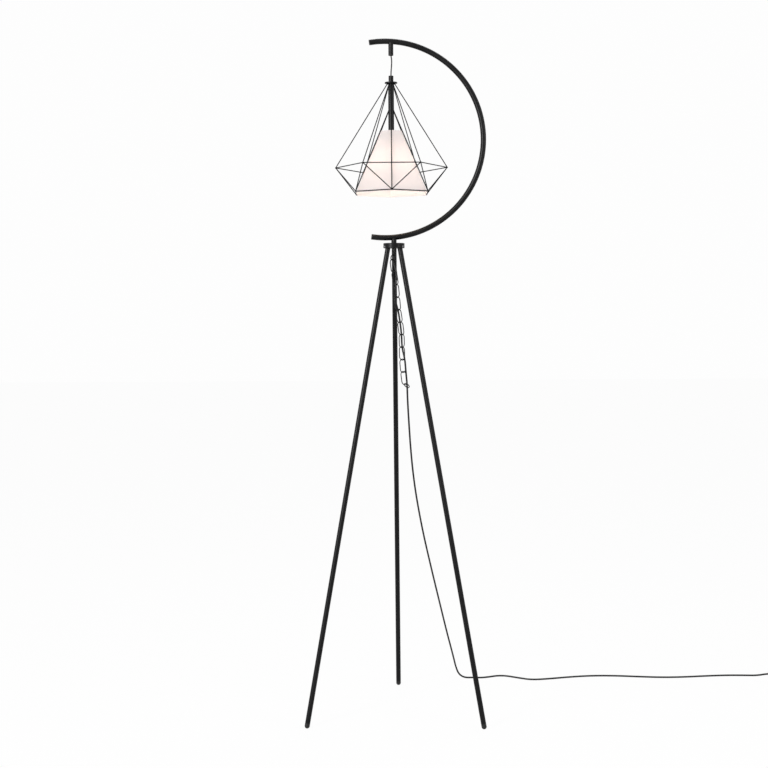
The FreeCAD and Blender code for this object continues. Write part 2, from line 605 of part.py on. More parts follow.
def ring_tools(radius, z, first_angle):
    step = 360.0 / CAGE_SIDES
    corners = [cage_point(radius, z, first_angle + k * step) for k in range(CAGE_SIDES + 1)]
    return [cope_tool(p, q, WIRE_DIAMETER) for p, q in zip(corners, corners[1:])]


def make_cage():
    step = 360.0 / CAGE_SIDES
    tools = ring_tools(WAIST_RADIUS, WAIST_Z, 0.0) + ring_tools(RIM_RADIUS, RIM_Z, step / 2)
    upper, lower, ribs = [], [], []
    for k in range(CAGE_SIDES):
        top, low = cage_point(CAGE_TOP_RADIUS, WASHER_Z, k * step), cage_point(WAIST_RADIUS, WAIST_Z, k * step)
        over = top + (top - low).normalize() * (2 * WIRE_DIAMETER)
        rod = cylinder(WIRE_DIAMETER, low, over)
        rod = rod.cut(disc(4 * WASHER_DIAMETER, WASHER_Z, over.z + WIRE_DIAMETER, PENDANT_X))
        upper.append(coped(rod, tools))
        tools.append(cope_tool(low, top, WIRE_DIAMETER))
    for k in range(CAGE_SIDES):
        waist_end = cage_point(WAIST_RADIUS, WAIST_Z, k * step)
        for side in (-0.5, 0.5):
            rim_end = cage_point(RIM_RADIUS, RIM_Z, (k + side) * step)
            lower.append(coped(cylinder(WIRE_DIAMETER, waist_end, rim_end), tools))
            tools.append(cope_tool(waist_end, rim_end, WIRE_DIAMETER))
    tube = disc(TUBE_DIAMETER + 2 * WELD_GAP, TUBE_BOTTOM_Z, WASHER_Z, PENDANT_X)
    for k in range(CAGE_SIDES):
        low = cage_point(RIM_RADIUS, RIM_Z, (k + 0.5) * step)
        top = cage_point(TUBE_DIAMETER / 2, RIB_TOP_Z, (k + 0.5) * step)
        over = top + (top - low).normalize() * RIB_DIAMETER
        ribs.append(coped(cylinder(RIB_DIAMETER, low, over), tools + [tube]))
    parts["waist_ring"] = Part.makeCompound(ring_rods(WAIST_RADIUS, WAIST_Z, 0.0, WIRE_DIAMETER))
    parts["rim_ring"] = Part.makeCompound(ring_rods(RIM_RADIUS, RIM_Z, step / 2, WIRE_DIAMETER))
    parts["cage_upper_wires"] = Part.makeCompound(upper)
    parts["cage_lower_wires"] = Part.makeCompound(lower)
    parts["shade_ribs"] = Part.makeCompound(ribs)


def make_shade():
    """Six flat panels of stiffened cloth, seamed at the ribs. They meet the ribs at the top and
    stand just inside the rim at the bottom."""
    slope = (RIM_RADIUS - TUBE_DIAMETER / 2) / (RIB_TOP_Z - RIM_Z)
    tilt = math.atan(slope)
    top_radius = (TUBE_DIAMETER / 2 + slope * (RIB_TOP_Z - SHADE_TOP_Z)
                  - (RIB_DIAMETER / 2 + FLAT_GAP) / math.cos(tilt))
    half_side = math.cos(math.radians(180.0 / CAGE_SIDES))
    bottom_radius = RIM_RADIUS - (WIRE_DIAMETER / 2 + FLAT_GAP) / half_side
    wall = SHADE_WALL / math.cos(tilt) / half_side
    step = 360.0 / CAGE_SIDES

    def outline(z, radius, angle):
        corners = [(radius, angle), (radius, angle + step), (radius - wall, angle + step), (radius - wall, angle)]
        corners = [cage_point(r, z, a) for r, a in corners]
        return Part.makePolygon(corners + corners[:1])

    panels = []
    for k in range(CAGE_SIDES):
        angle = (k + 0.5) * step
        ends = [outline(SHADE_BOTTOM_Z, bottom_radius, angle), outline(SHADE_TOP_Z, top_radius, angle)]
        panels.append(Part.makeLoft(ends, True, True))
    parts["shade"] = Part.makeCompound(panels)


# ---------------------------------------------------------------- chain
def chain_joints():
    """Points one pitch apart along the chain's line."""
    joints = [CHAIN_LINE[0]]
    place, ahead = CHAIN_LINE[0], 1
    while len(joints) <= LINK_COUNT:
        goal = CHAIN_LINE[ahead]
        if (goal - joints[-1]).Length < LINK_PITCH and ahead + 1 < len(CHAIN_LINE):
            place = goal
            ahead += 1
            continue
        # where the straight line from place towards goal is one pitch from the last joint
        along = (goal - place).normalize()
        back = place - joints[-1]
        half = along.dot(back)
        place = place + along * (-half + math.sqrt(half ** 2 - back.dot(back) + LINK_PITCH ** 2))
        joints.append(place)
    return joints


def turned_to(shape, origin, along, angle):
    """Places a shape made about Z, lying in the XZ plane: its Z axis goes to along, and its plane
    turns by angle about it."""
    shape = shape.copy()
    spin = FreeCAD.Rotation(Z_AXIS, angle)
    aim = FreeCAD.Rotation(Z_AXIS, along)
    shape.Placement = FreeCAD.Placement(origin, aim.multiply(spin))
    return shape


def link_turn(k):
    """Links follow each other at right angles."""
    return 45 if k % 2 == 0 else -45


def turned_run(along, angle):
    """The direction across a link, in its plane, for a link placed by turned_to."""
    aim = FreeCAD.Rotation(Z_AXIS, along)
    return aim.multVec(FreeCAD.Rotation(Z_AXIS, angle).multVec(X_AXIS))


def link_shape():
    """An oval link about the origin, its long axis along Z."""
    half = LINK_PITCH / 2 + LINK_REACH - LINK_HALF_WIDTH
    wide = LINK_HALF_WIDTH
    section = Part.Face(Part.Wire(Part.makeCircle(LINK_WIRE / 2, V(wide, 0, half), Z_AXIS)))
    bow = section.revolve(V(0, 0, half), -Y_AXIS, 180)
    link = bow.fuse(bow.mirror(V(0, 0, 0), Z_AXIS))
    for x in (-wide, wide):
        link = link.fuse(cylinder(LINK_WIRE, V(x, 0, -half), V(x, 0, half)))
    return link.removeSplitter()


def make_chain():
    joints = chain_joints()
    eye_centre = V(EYE_X, EYE_Y, HUB_BOTTOM_Z - EYE_DROP)
    shank_top = V(EYE_X, EYE_Y, HUB_BOTTOM_Z + EYE_THREAD)
    ring = Part.makeTorus(EYE_RADIUS, LINK_WIRE / 2, V(0, 0, 0), Y_AXIS)
    eye = turned_to(ring, eye_centre, Z_AXIS, 45)
    shank = cylinder(EYE_SHANK, eye_centre + V(0, 0, EYE_RADIUS), shank_top)
    parts["chain_eye"] = eye.fuse(shank).removeSplitter()

    ring = Part.makeTorus(RING_RADIUS, LINK_WIRE / 2, V(0, 0, 0), Y_AXIS)
    hook = eye_centre - V(0, 0, EYE_RADIUS - LINK_REACH)
    along = (hook - joints[0]).normalize()
    top_ring = turned_to(ring, hook - along * (RING_RADIUS - LINK_REACH), along, -45)
    # the last ring hangs from the last link and lies round the cord
    cord_side = CORD_ROUTE[LINK_COUNT + 2] - joints[-1]
    drop = math.sqrt(RING_RADIUS ** 2 - cord_side.Length ** 2)
    hang = (cord_side - Z_AXIS * drop).normalize()
    level = hang.cross(cord_side.cross(Z_AXIS)).normalize()
    flat = FreeCAD.Rotation(hang, END_RING_TURN).multVec(level)
    bow_run = turned_run(joints[-2] - joints[-1], link_turn(LINK_COUNT - 1))
    over = hang.cross(flat).cross(bow_run).normalize()
    if over.z < 0:
        over = -over
    seat = joints[-1] - Z_AXIS * LINK_REACH + over * 2 * LINK_REACH
    end_ring = Part.makeTorus(RING_RADIUS, LINK_WIRE / 2, seat + hang * RING_RADIUS, flat)
    parts["chain_rings"] = Part.makeCompound([top_ring, end_ring])

    link = link_shape()
    links = []
    for k in range(LINK_COUNT):
        a, b = joints[k], joints[k + 1]
        links.append(turned_to(link, (a + b) * 0.5, (a - b).normalize(), link_turn(k)))
    parts["chain_links"] = Part.makeCompound(links)


# ---------------------------------------------------------------- cords
def sweep(path, diameter, start, along):
    profile = Part.Wire(Part.makeCircle(diameter / 2, start, along))
    return path.makePipeShell([profile], True, False)


def rounded_route(points):
    """Straight runs joined by arcs that touch both runs, as large as the shorter run allows.
    Returns the edges and the arcs' radii."""
    edges, radii = [], []
    place = points[0]
    for i in range(1, len(points) - 1):
        back = points[i - 1] - points[i]
        ahead = points[i + 1] - points[i]
        turn = math.pi - back.getAngle(ahead)
        setback = 0.45 * min(back.Length, ahead.Length)
        radius = setback / math.tan(turn / 2)
        first = points[i] + V(back).normalize() * setback
        last = points[i] + V(ahead).normalize() * setback
        inwards = (V(back).normalize() + V(ahead).normalize()).normalize()
        middle = points[i] + inwards * (radius / math.cos(turn / 2) - radius)
        edges.append(Part.LineSegment(place, first).toShape())
        edges.append(Part.Arc(first, middle, last).toShape())
        radii.append(radius)
        place = last
    edges.append(Part.LineSegment(place, points[-1]).toShape())
    return edges, radii


def cord_tube(name, points):
    edges, radii = rounded_route(points)
    path = Part.Wire(edges)
    solid = sweep(path, CORD_DIAMETER, points[0], points[1] - points[0])
    section = math.pi * CORD_RADIUS ** 2
    print("%s: %.0f mm long, arcs from %.0f mm, volume is %.4f of section times length, lowest %.2f" % (
        name, path.Length, min(radii), solid.Volume / (section * path.Length), solid.BoundBox.ZMin))
    print("   radii: " + " ".join("%.0f" % r for r in radii))
    parts[name] = solid


def coil_place(turn):
    """The coil's centre line after so many turns, and its direction there. It spirals in on the
    lower layer, climbs while the spiral turns back, and spirals out on the upper layer."""
    climb_end = COIL_TURNS_IN + COIL_TURNS_CLIMB
    inner = COIL_OUTER_RADIUS - COIL_PITCH * COIL_TURNS_IN
    if turn <= COIL_TURNS_IN:
        radius, widening = COIL_OUTER_RADIUS - COIL_PITCH * turn, -COIL_PITCH
        height, rise = 0.0, 0.0
    elif turn < climb_end:
        u = (turn - COIL_TURNS_IN) / COIL_TURNS_CLIMB
        radius = inner - COIL_PITCH * COIL_TURNS_CLIMB * (u - u * u)
        widening = -COIL_PITCH * (1 - 2 * u)
        height = COIL_PITCH * (3 * u ** 2 - 2 * u ** 3)
        rise = COIL_PITCH * 6 * (u - u ** 2) / COIL_TURNS_CLIMB
    else:
        radius, widening = inner + COIL_PITCH * (turn - climb_end), COIL_PITCH
        height, rise = COIL_PITCH, 0.0
    angle = math.radians(COIL_START_ANGLE - 360.0 * turn)
    out = V(math.cos(angle), math.sin(angle), 0)
    way = V(math.sin(angle), -math.cos(angle), 0)
    place = COIL_CENTRE + out * radius + V(0, 0, height)
    direction = out * widening + way * (2 * math.pi * radius) + V(0, 0, rise)
    return place, direction.normalize()


def two_arcs(p0, t0, p1, t1):
    """Two arcs that join p0 and p1, with the directions t0 and t1 there."""
    chord = p1 - p0
    both = t0 + t1
    a = 2 * (1 - t0.dot(t1))
    b = chord.dot(both)
    reach = (-b + math.sqrt(b * b + a * chord.dot(chord))) / a
    meet = (p0 + p1 + (t0 - t1) * reach) * 0.5

    def arc(start, along, end):
        line = end - start
        flat = V(line).normalize()
        bulge = along - flat * along.dot(flat)
        half = math.acos(max(-1.0, min(1.0, along.dot(flat))))
        middle = start + line * 0.5 + bulge.normalize() * (line.Length / 2 * math.tan(half / 2))
        return Part.Arc(start, middle, end).toShape()

    first = arc(p0, t0, meet)
    last = arc(p1, t1 * -1, meet)
    last.reverse()
    return [first, last]


def coil_gap(steps_per_turn, turns):
    """The least gap between one turn and another, on points along the centre line."""
    places = [coil_place(turns * k / (steps_per_turn * turns))[0] for k in range(int(steps_per_turn * turns) + 1)]
    least = 1e9
    for i, p in enumerate(places):
        for q in places[i + steps_per_turn // 2:]:
            least = min(least, (q - p).Length)
    return least - CORD_DIAMETER


def make_cords():
    cord_tube("mains_cord", CORD_ROUTE)

    turns = COIL_TURNS_IN + COIL_TURNS_CLIMB + COIL_TURNS_OUT
    quarter = 0.25
    edges = []
    for k in range(int(round(turns / quarter))):
        p0, t0 = coil_place(k * quarter)
        p1, t1 = coil_place((k + 1) * quarter)
        edges.extend(two_arcs(p0, t0, p1, t1))
    path = Part.Wire(edges)
    start, start_way = coil_place(0.0)
    end, end_way = coil_place(turns)
    parts["cord_coil"] = sweep(path, CORD_DIAMETER, start, start_way)
    section = math.pi * CORD_RADIUS ** 2
    print("cord_coil: %.0f mm in %.2f turns, volume is %.4f of section times length, least gap %.2f mm" % (
        path.Length, turns, parts["cord_coil"].Volume / (section * path.Length), coil_gap(48, turns)))

    cord_tube("lead_run", LEAD_ROUTE + [start - start_way * COIL_RUN_IN, start])
    cord_tube("lead_tail", [end, end + end_way * COIL_RUN_OUT] + TAIL_ROUTE)
    make_tie(coil_place(TIE_AT_TURN + 3)[0])


def make_tie(place):
    """A flat band round the four turns that pass one place."""
    centre = V(COIL_CENTRE.x, COIL_CENTRE.y, 0)
    out = V(place.x - centre.x, place.y - centre.y, 0).normalize()
    radii = []
    for turn in range(4):
        there = coil_place(TIE_AT_TURN + turn)[0]
        radii.append(V(there.x - centre.x, there.y - centre.y, 0).Length)
    clear = CORD_RADIUS + CORD_GAP
    low, high = COIL_CENTRE.z - clear, COIL_CENTRE.z + COIL_PITCH + clear
    near, far = min(radii) - clear, max(radii) + clear

    def block(grow, width):
        box = Part.makeBox(
            far - near + 2 * grow, width, high - low + 2 * grow, V(near - grow, -width / 2, low - grow))
        along = [e for e in box.Edges if abs(e.tangentAt(e.FirstParameter).y) > 0.99]
        return box.makeFillet(clear + grow - 0.01, along)

    tie = block(TIE_THICKNESS, TIE_WIDTH).cut(block(0.0, 2 * TIE_WIDTH))
    angle = math.degrees(math.atan2(out.y, out.x))
    tie.Placement = FreeCAD.Placement(centre, FreeCAD.Rotation(Z_AXIS, angle))
    parts["coil_tie"] = tie


def make_cord_bushing():
    parts["cord_bushing"] = turned([
        (CORD_BORE, HUB_BOTTOM_Z - BUSHING_LIP), (BUSHING_FLANGE / 2, HUB_BOTTOM_Z - BUSHING_LIP, 0.5),
        (BUSHING_FLANGE / 2, HUB_BOTTOM_Z), (BUSHING_DIAMETER / 2, HUB_BOTTOM_Z),
        (BUSHING_DIAMETER / 2, HUB_BOTTOM_Z + BUSHING_DEPTH), (CORD_BORE, HUB_BOTTOM_Z + BUSHING_DEPTH),
    ])


# ---------------------------------------------------------------- foot switch and plug
def cone_relief(tip, base):
    """A tapered sleeve round a cord, its thick end at base."""
    solid = Part.makeCone(
        RELIEF_SMALL / 2, RELIEF_BIG / 2, (base - tip).Length, tip, base - tip)
    return solid.cut(cylinder(2 * CORD_BORE, tip - (base - tip), base + (base - tip)))


def make_switch():
    middle = V(SWITCH_X, SWITCH_Y, 0)
    half = V(SWITCH_LENGTH / 2, SWITCH_WIDTH / 2, 0)
    wall = V(SWITCH_WALL, SWITCH_WALL, SWITCH_WALL)
    low, high = middle - half, middle + half + V(0, 0, SWITCH_HEIGHT)
    shell = rounded_box(low, high, SWITCH_CORNER, SWITCH_TOP_EDGE, SWITCH_HEIGHT)
    hollow = rounded_box(low + wall, high - wall, SWITCH_CORNER - SWITCH_WALL)
    entry = cylinder(
        2 * CORD_BORE, V(low.x - 1, SWITCH_Y, SWITCH_AXIS_Z), V(high.x + 1, SWITCH_Y, SWITCH_AXIS_Z))
    button_hole = disc(BUTTON_DIAMETER + 2 * BUTTON_SIDE_GAP, SWITCH_AXIS_Z, SWITCH_HEIGHT + 1, SWITCH_X, SWITCH_Y)
    shell = shell.cut(hollow).cut(entry).cut(button_hole)
    lower = Part.makeBox(2 * SWITCH_LENGTH, 2 * SWITCH_WIDTH, SWITCH_AXIS_Z, middle - half * 2)
    parts["switch_base"] = shell.common(lower)
    parts["switch_cover"] = shell.cut(lower)

    under_cover = SWITCH_HEIGHT - SWITCH_WALL - FLAT_GAP
    module_top = SWITCH_WALL + MODULE_HEIGHT
    stem_low = module_top - 1.0
    parts["switch_button"] = turned([
        (0, stem_low), (BUTTON_STEM / 2, stem_low), (BUTTON_STEM / 2, under_cover - 1.5),
        (BUTTON_DIAMETER / 2 + BUTTON_FLANGE, under_cover - 1.5),
        (BUTTON_DIAMETER / 2 + BUTTON_FLANGE, under_cover), (BUTTON_DIAMETER / 2, under_cover),
        (BUTTON_DIAMETER / 2, SWITCH_HEIGHT + BUTTON_RISE, 1.5), (0, SWITCH_HEIGHT + BUTTON_RISE),
    ], SWITCH_X, SWITCH_Y)
    module = Part.makeBox(
        MODULE_LENGTH, MODULE_WIDTH, MODULE_HEIGHT,
        middle + V(-MODULE_LENGTH / 2, -MODULE_WIDTH / 2, SWITCH_WALL))
    well = disc(
        BUTTON_STEM + 2 * FLAT_GAP, stem_low - BUTTON_TRAVEL - FLAT_GAP, module_top + 1, SWITCH_X, SWITCH_Y)
    parts["switch_module"] = module.cut(well)
    reliefs = []
    for side in (-1, 1):
        base = V(SWITCH_X + side * SWITCH_LENGTH / 2, SWITCH_Y, SWITCH_AXIS_Z)
        reliefs.append(cone_relief(base + X_AXIS * (side * RELIEF_LENGTH), base))
    parts["switch_reliefs"] = Part.makeCompound(reliefs)


def make_plug():
    end = TAIL_ROUTE[-1]
    front = PLUG_RELIEF_Y - PLUG_RELIEF_LENGTH - PLUG_LENGTH
    back = front + PLUG_LENGTH
    low = V(end.x - PLUG_WIDTH / 2, front, 0)
    body = Part.makeBox(PLUG_WIDTH, PLUG_LENGTH, PLUG_THICKNESS, low)
    long_edges = [e for e in body.Edges if abs(e.tangentAt(e.FirstParameter).y) > 0.99]
    body = body.makeFillet(PLUG_EDGE, long_edges)
    axis_z = end.z
    relief = Part.makeCone(
        RELIEF_BIG / 2 + 1, RELIEF_SMALL / 2, PLUG_RELIEF_LENGTH, V(end.x, back, axis_z), Y_AXIS)
    body = body.fuse(relief)
    body = body.cut(cylinder(2 * CORD_BORE, V(end.x, end.y, axis_z), V(end.x, PLUG_RELIEF_Y + 1, axis_z)))
    blades = []
    for side in (-1, 1):
        x = end.x + side * BLADE_SPACING / 2 - BLADE_THICKNESS / 2
        z = axis_z - BLADE_WIDTH / 2
        blades.append(Part.makeBox(
            BLADE_THICKNESS, BLADE_LENGTH + 10, BLADE_WIDTH, V(x, front - BLADE_LENGTH, z)))
    parts["plug_body"] = body.cut(blades)
    parts["plug_blades"] = Part.makeCompound(blades)


# ---------------------------------------------------------------- build and write
def main():
    angles = [FIRST_LEG_ANGLE + k * 360.0 / LEG_COUNT for k in range(LEG_COUNT)]
    for name, angle in zip(LEG_NAMES, angles):
        make_leg(name, angle)
    make_hub(angles)
    make_arm()
    make_arm_wire()
    make_pendant_cord()
    make_holder()
    make_cage()
    make_shade()
    make_chain()
    make_cord_bushing()
    make_cords()
    make_switch()
    make_plug()
    os.makedirs("parts", exist_ok=True)
    for name, shape in parts.items():
        if not shape.isValid():
            print("not valid: " + name)
        shape.exportStep(os.path.join("parts", name + ".step"))
    print("%d parts" % len(parts))


main()
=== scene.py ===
import json
import math

import bmesh
import bpy
from mathutils import Matrix, Vector


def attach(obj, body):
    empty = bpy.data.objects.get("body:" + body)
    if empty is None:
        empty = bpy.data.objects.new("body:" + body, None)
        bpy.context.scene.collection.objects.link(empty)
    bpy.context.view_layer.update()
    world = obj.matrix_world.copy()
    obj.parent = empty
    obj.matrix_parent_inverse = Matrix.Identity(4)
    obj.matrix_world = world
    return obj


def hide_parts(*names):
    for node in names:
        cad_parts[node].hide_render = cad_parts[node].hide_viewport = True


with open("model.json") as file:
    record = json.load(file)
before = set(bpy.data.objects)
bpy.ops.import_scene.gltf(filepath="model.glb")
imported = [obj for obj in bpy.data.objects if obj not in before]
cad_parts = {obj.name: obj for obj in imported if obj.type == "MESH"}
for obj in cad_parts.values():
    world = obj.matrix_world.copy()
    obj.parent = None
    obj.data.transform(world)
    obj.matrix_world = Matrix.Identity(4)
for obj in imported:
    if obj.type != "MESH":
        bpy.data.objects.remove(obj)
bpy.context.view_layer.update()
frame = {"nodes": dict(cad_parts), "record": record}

# A floor lamp: tripod, C-shaped arm, and a wire cage with a lit cloth shade. Metres, +Z up.

NODES = frame["nodes"]
MM = 0.001

# ---------------------------------------------------------------- sizes that the pieces share
PENDANT_X = -0.005
CAGE_SIDES = 6
CORNER_OFFSET = 0.5         # the rim's corners and the ribs stand half a side on from the waist's
WASHER_Z = 1.5418
CAGE_TOP_RADIUS = 0.0086
WAIST_RADIUS, WAIST_Z = 0.1367, 1.3358
RIM_RADIUS, RIM_Z = 0.1006, 1.2741
RIB_TOP_Z = 1.4747
TUBE_RADIUS = 0.0071
WIRE_RADIUS, RIB_RADIUS = 0.0012, 0.00135
WELD_RADIUS, WELD_SPREAD, WELD_SEED = 0.0019, 0.15, 4

# shade, as it stands inside the ribs and the rim; insets are measured at a corner
SHADE_TOP_Z, SHADE_BOTTOM_Z = 1.4245, 1.2716
SHADE_ROWS, HEM_ROWS, PANEL_COLUMNS = 24, 2, 8
CLOTH_GAP = 0.0003
CLOTH_THICKNESS = 0.0006
CLOTH_HOLLOW = 0.0012       # how far a stretched panel draws in at its middle
HEM_HEIGHT, HEM_THICKNESS = 0.007, 0.0004
HEM_INSET = 0.00081         # from the cloth's outer face to the hem's
SEAM_HEIGHT = 0.0056        # from the cloth's edge to the stitches
SEAM_INSET = 0.00133        # from the cloth's outer face to the stitches
STITCH_SPACING, STITCH_LENGTH, THREAD_RADIUS = 0.0036, 0.0022, 0.0002

CORD_DIAMETER = 0.0045
LAMP_WIRE_DIAMETER = 0.0032

# foot switch and plug
SWITCH_CENTRE = (1.060, 0.298, 0.008)
SWITCH_HALF_LENGTH = 0.029
PLUG_CENTRE_X, PLUG_AXIS_Z = 1.212, 0.009
PLUG_BACK_Y, PLUG_RELIEF_Y = 0.204, 0.224
RELIEF_LENGTH, RELIEF_RIBS = 0.020, 6
RELIEF_FIRST_RADIUS, RELIEF_LAST_RADIUS = 0.004365, 0.0032
RELIEF_FIRST_SHARE, RELIEF_LAST_SHARE = 0.14, 0.92      # where the first and last rib stand along it
RELIEF_SECTION_SHARE = 0.12                             # a rib's round section, of the rib's radius

# the cords' routes, in millimetres
MAINS_ROUTE = [
    (0, 0, 1142.0), (0, 0, 1130.0),
    (-4.2, -2, 1110), (7, -6.9, 1079.4), (4, -12.1, 1048.9), (-0.4, -1.6, 1018.3),
    (9.3, 8.9, 987.7), (14, 10.8, 957.2), (17.6, 13.2, 926.6), (18.2, 16.1, 895.8),
    (25.6, 11.8, 865.1), (27.7, 14.6, 834.4), (30.7, 17.4, 803.8),
    (31.6, 23.5, 765), (35, 36.8, 705), (38.9, 52.6, 645), (44.4, 70.3, 585), (52.2, 89.6, 525),
    (62.5, 110.1, 465), (74.2, 131.6, 405), (87.6, 154.2, 345), (101.2, 177.6, 285), (115.3, 202, 225),
    (128, 225, 170), (138.8, 244.4, 125), (147.7, 259.5, 90), (154.6, 272, 62), (160.5, 283, 36),
    (168.5, 290.5, 14),
    (184, 296.5, 2.25), (207, 297, 2.25), (236, 294, 2.25), (285, 319, 2.25),
    (330, 290, 2.25), (362, 272, 2.25), (410, 281, 2.25), (470, 298, 2.25),
    (530, 308, 2.25), (590, 306, 2.25), (650, 296, 2.25), (710, 288, 2.25),
    (770, 290, 2.25), (830, 299, 2.25), (890, 305, 2.25), (938, 303, 2.25),
    (969, 299.5, 2.6), (999, 298, 8), (1035, 298, 8),
]
PENDANT_ROUTE = [
    (-5, 0, 1614.7), (-4.4, 0, 1608), (-3.0, 0, 1599), (-3.4, 0, 1586), (-4.6, 0, 1572), (-5, 0, 1563),
    (-5, 0, 1556),
]
LEAD_IN = [(1085, 298, 8), (1114, 298, 8), (1144, 294.8, 4.4), (1164, 292.46, 3.45)]
LEAD_OUT = [(1211.6, 248, 8.45), (1212, 230, 9), (1212, 214.5, 9)]
COIL_CENTRE = (1182, 262, 3.45)
COIL_OUTER_RADIUS, COIL_PITCH = 30.0, 5.0
COIL_START_ANGLE, COIL_POINTS_PER_TURN = 90.0, 16
TURNS_IN, TURNS_CLIMB, TURNS_OUT = 2.0, 0.5, 1.75

# ---------------------------------------------------------------- camera and studio
FOCAL_PX, FRAME_PX = 1310.58, 768
HORIZON_PX, SIDE_SHIFT_PX = 309.27, 0.42
SENSOR_WIDTH = 36.0         # in millimetres, as Blender gives it
CAMERA_PLACE = (-0.0263, -3.2109, 0.9890)
CAMERA_ROLL = math.radians(-0.3233)
VIEW_DEPTH = 50.0

FLOOR_REACH = 15.0
FLOOR_WHITE, FLOOR_ROUGHNESS = 0.96, 0.9
FLOOR_GLOW = 0.95           # how much of what the camera sees of the floor is plain white
WORLD_LIGHT, WORLD_SEEN = 0.45, 0.985


def set_camera():
    """Looks level along +Y with a slight roll, its lens shifted down towards the lamp's middle."""
    data = bpy.data.cameras.new("camera")
    data.sensor_width = SENSOR_WIDTH
    data.sensor_fit = "HORIZONTAL"
    data.lens = FOCAL_PX / FRAME_PX * SENSOR_WIDTH
    data.shift_x = SIDE_SHIFT_PX / FRAME_PX
    data.shift_y = (HORIZON_PX - FRAME_PX / 2) / FRAME_PX
    data.clip_end = VIEW_DEPTH
    camera = bpy.data.objects.new("camera", data)
    bpy.context.scene.collection.objects.link(camera)
    turn = Matrix.Rotation(math.radians(90), 4, "X") @ Matrix.Rotation(CAMERA_ROLL, 4, "Z")
    camera.matrix_world = Matrix.Translation(CAMERA_PLACE) @ turn
    bpy.context.scene.camera = camera


# ---------------------------------------------------------------- node helpers
def set_inputs(node, **values):
    """Sets unlinked inputs by name."""
    for key, value in values.items():
        node.inputs[key.replace("_", " ")].default_value = value


def add(tree, kind, **values):
    """A node with its properties and unlinked inputs set by name."""
    node = tree.nodes.new(kind)
    for key, value in values.items():
        if hasattr(node, key):
            setattr(node, key, value)
        else:
            set_inputs(node, **{key: value})
    return node


def feed(tree, value, socket):
    """Links an output to the socket, or sets the socket to a plain value."""
    if isinstance(value, bpy.types.NodeSocket):
        tree.links.new(value, socket)
    else:
        socket.default_value = value


def math_node(tree, operation, a, b):
    """The result of an operation on outputs or plain numbers."""
    node = add(tree, "ShaderNodeMath", operation=operation)
    feed(tree, a, node.inputs[0])
    feed(tree, b, node.inputs[1])
    return node.outputs[0]


def colour_mix(tree, factor, a, b, blend="MIX"):
    """The mix of two colours, which are the node's inputs 6 and 7."""
    node = add(tree, "ShaderNodeMix", data_type="RGBA", blend_type=blend)
    for index, value in ((0, factor), (6, a), (7, b)):
        feed(tree, value, node.inputs[index])
    return node.outputs[2]


def mixed_surface(tree, factor, first, second, output):
    """Mixes two shaders and links them to the output node of that name."""
    both = tree.nodes.new("ShaderNodeMixShader")
    for socket, value in zip(both.inputs, (factor, first, second)):
        feed(tree, value, socket)
    tree.links.new(both.outputs["Shader"], tree.nodes[output].inputs["Surface"])


def ray_is(tree, *kinds):
    """1 for light rays of the named kinds and 0 for all others."""
    path = tree.nodes.new("ShaderNodeLightPath")
    answer = path.outputs[kinds[0]]
    for kind in kinds[1:]:
        answer = math_node(tree, "MAXIMUM", answer, path.outputs[kind])
    return answer


def new_material(name):
    """A material with its tree and its surface shader."""
    material = bpy.data.materials.new(name)
    material.use_nodes = True
    tree = material.node_tree
    shader = tree.nodes["Principled BSDF"]
    return material, tree, shader


def use_group(tree, shader, group, **values):
    """Colours and roughens a shader by a group with the given values, and returns its height."""
    node = tree.nodes.new("ShaderNodeGroup")
    node.node_tree = group
    set_inputs(node, **values)
    tree.links.new(node.outputs["Color"], shader.inputs["Base Color"])
    tree.links.new(node.outputs["Roughness"], shader.inputs["Roughness"])
    return node.outputs["Height"]


def bump(tree, shader, height, strength, distance):
    """Roughens a shader's surface by a height."""
    node = add(tree, "ShaderNodeBump", Strength=strength, Distance=distance)
    tree.links.new(height, node.inputs["Height"])
    tree.links.new(node.outputs["Normal"], shader.inputs["Normal"])


# ---------------------------------------------------------------- shader groups
def new_group(name, inputs):
    """A node group with named inputs, a colour, a roughness and a height, and its end nodes."""
    group = bpy.data.node_groups.new(name, "ShaderNodeTree")
    for label, kind, value in inputs:
        socket = group.interface.new_socket(label, in_out="INPUT", socket_type=kind)
        socket.default_value = value
    group.interface.new_socket("Color", in_out="OUTPUT", socket_type="NodeSocketColor")
    group.interface.new_socket("Roughness", in_out="OUTPUT", socket_type="NodeSocketFloat")
    group.interface.new_socket("Height", in_out="OUTPUT", socket_type="NodeSocketFloat")
    return group, group.nodes.new("NodeGroupInput"), group.nodes.new("NodeGroupOutput")


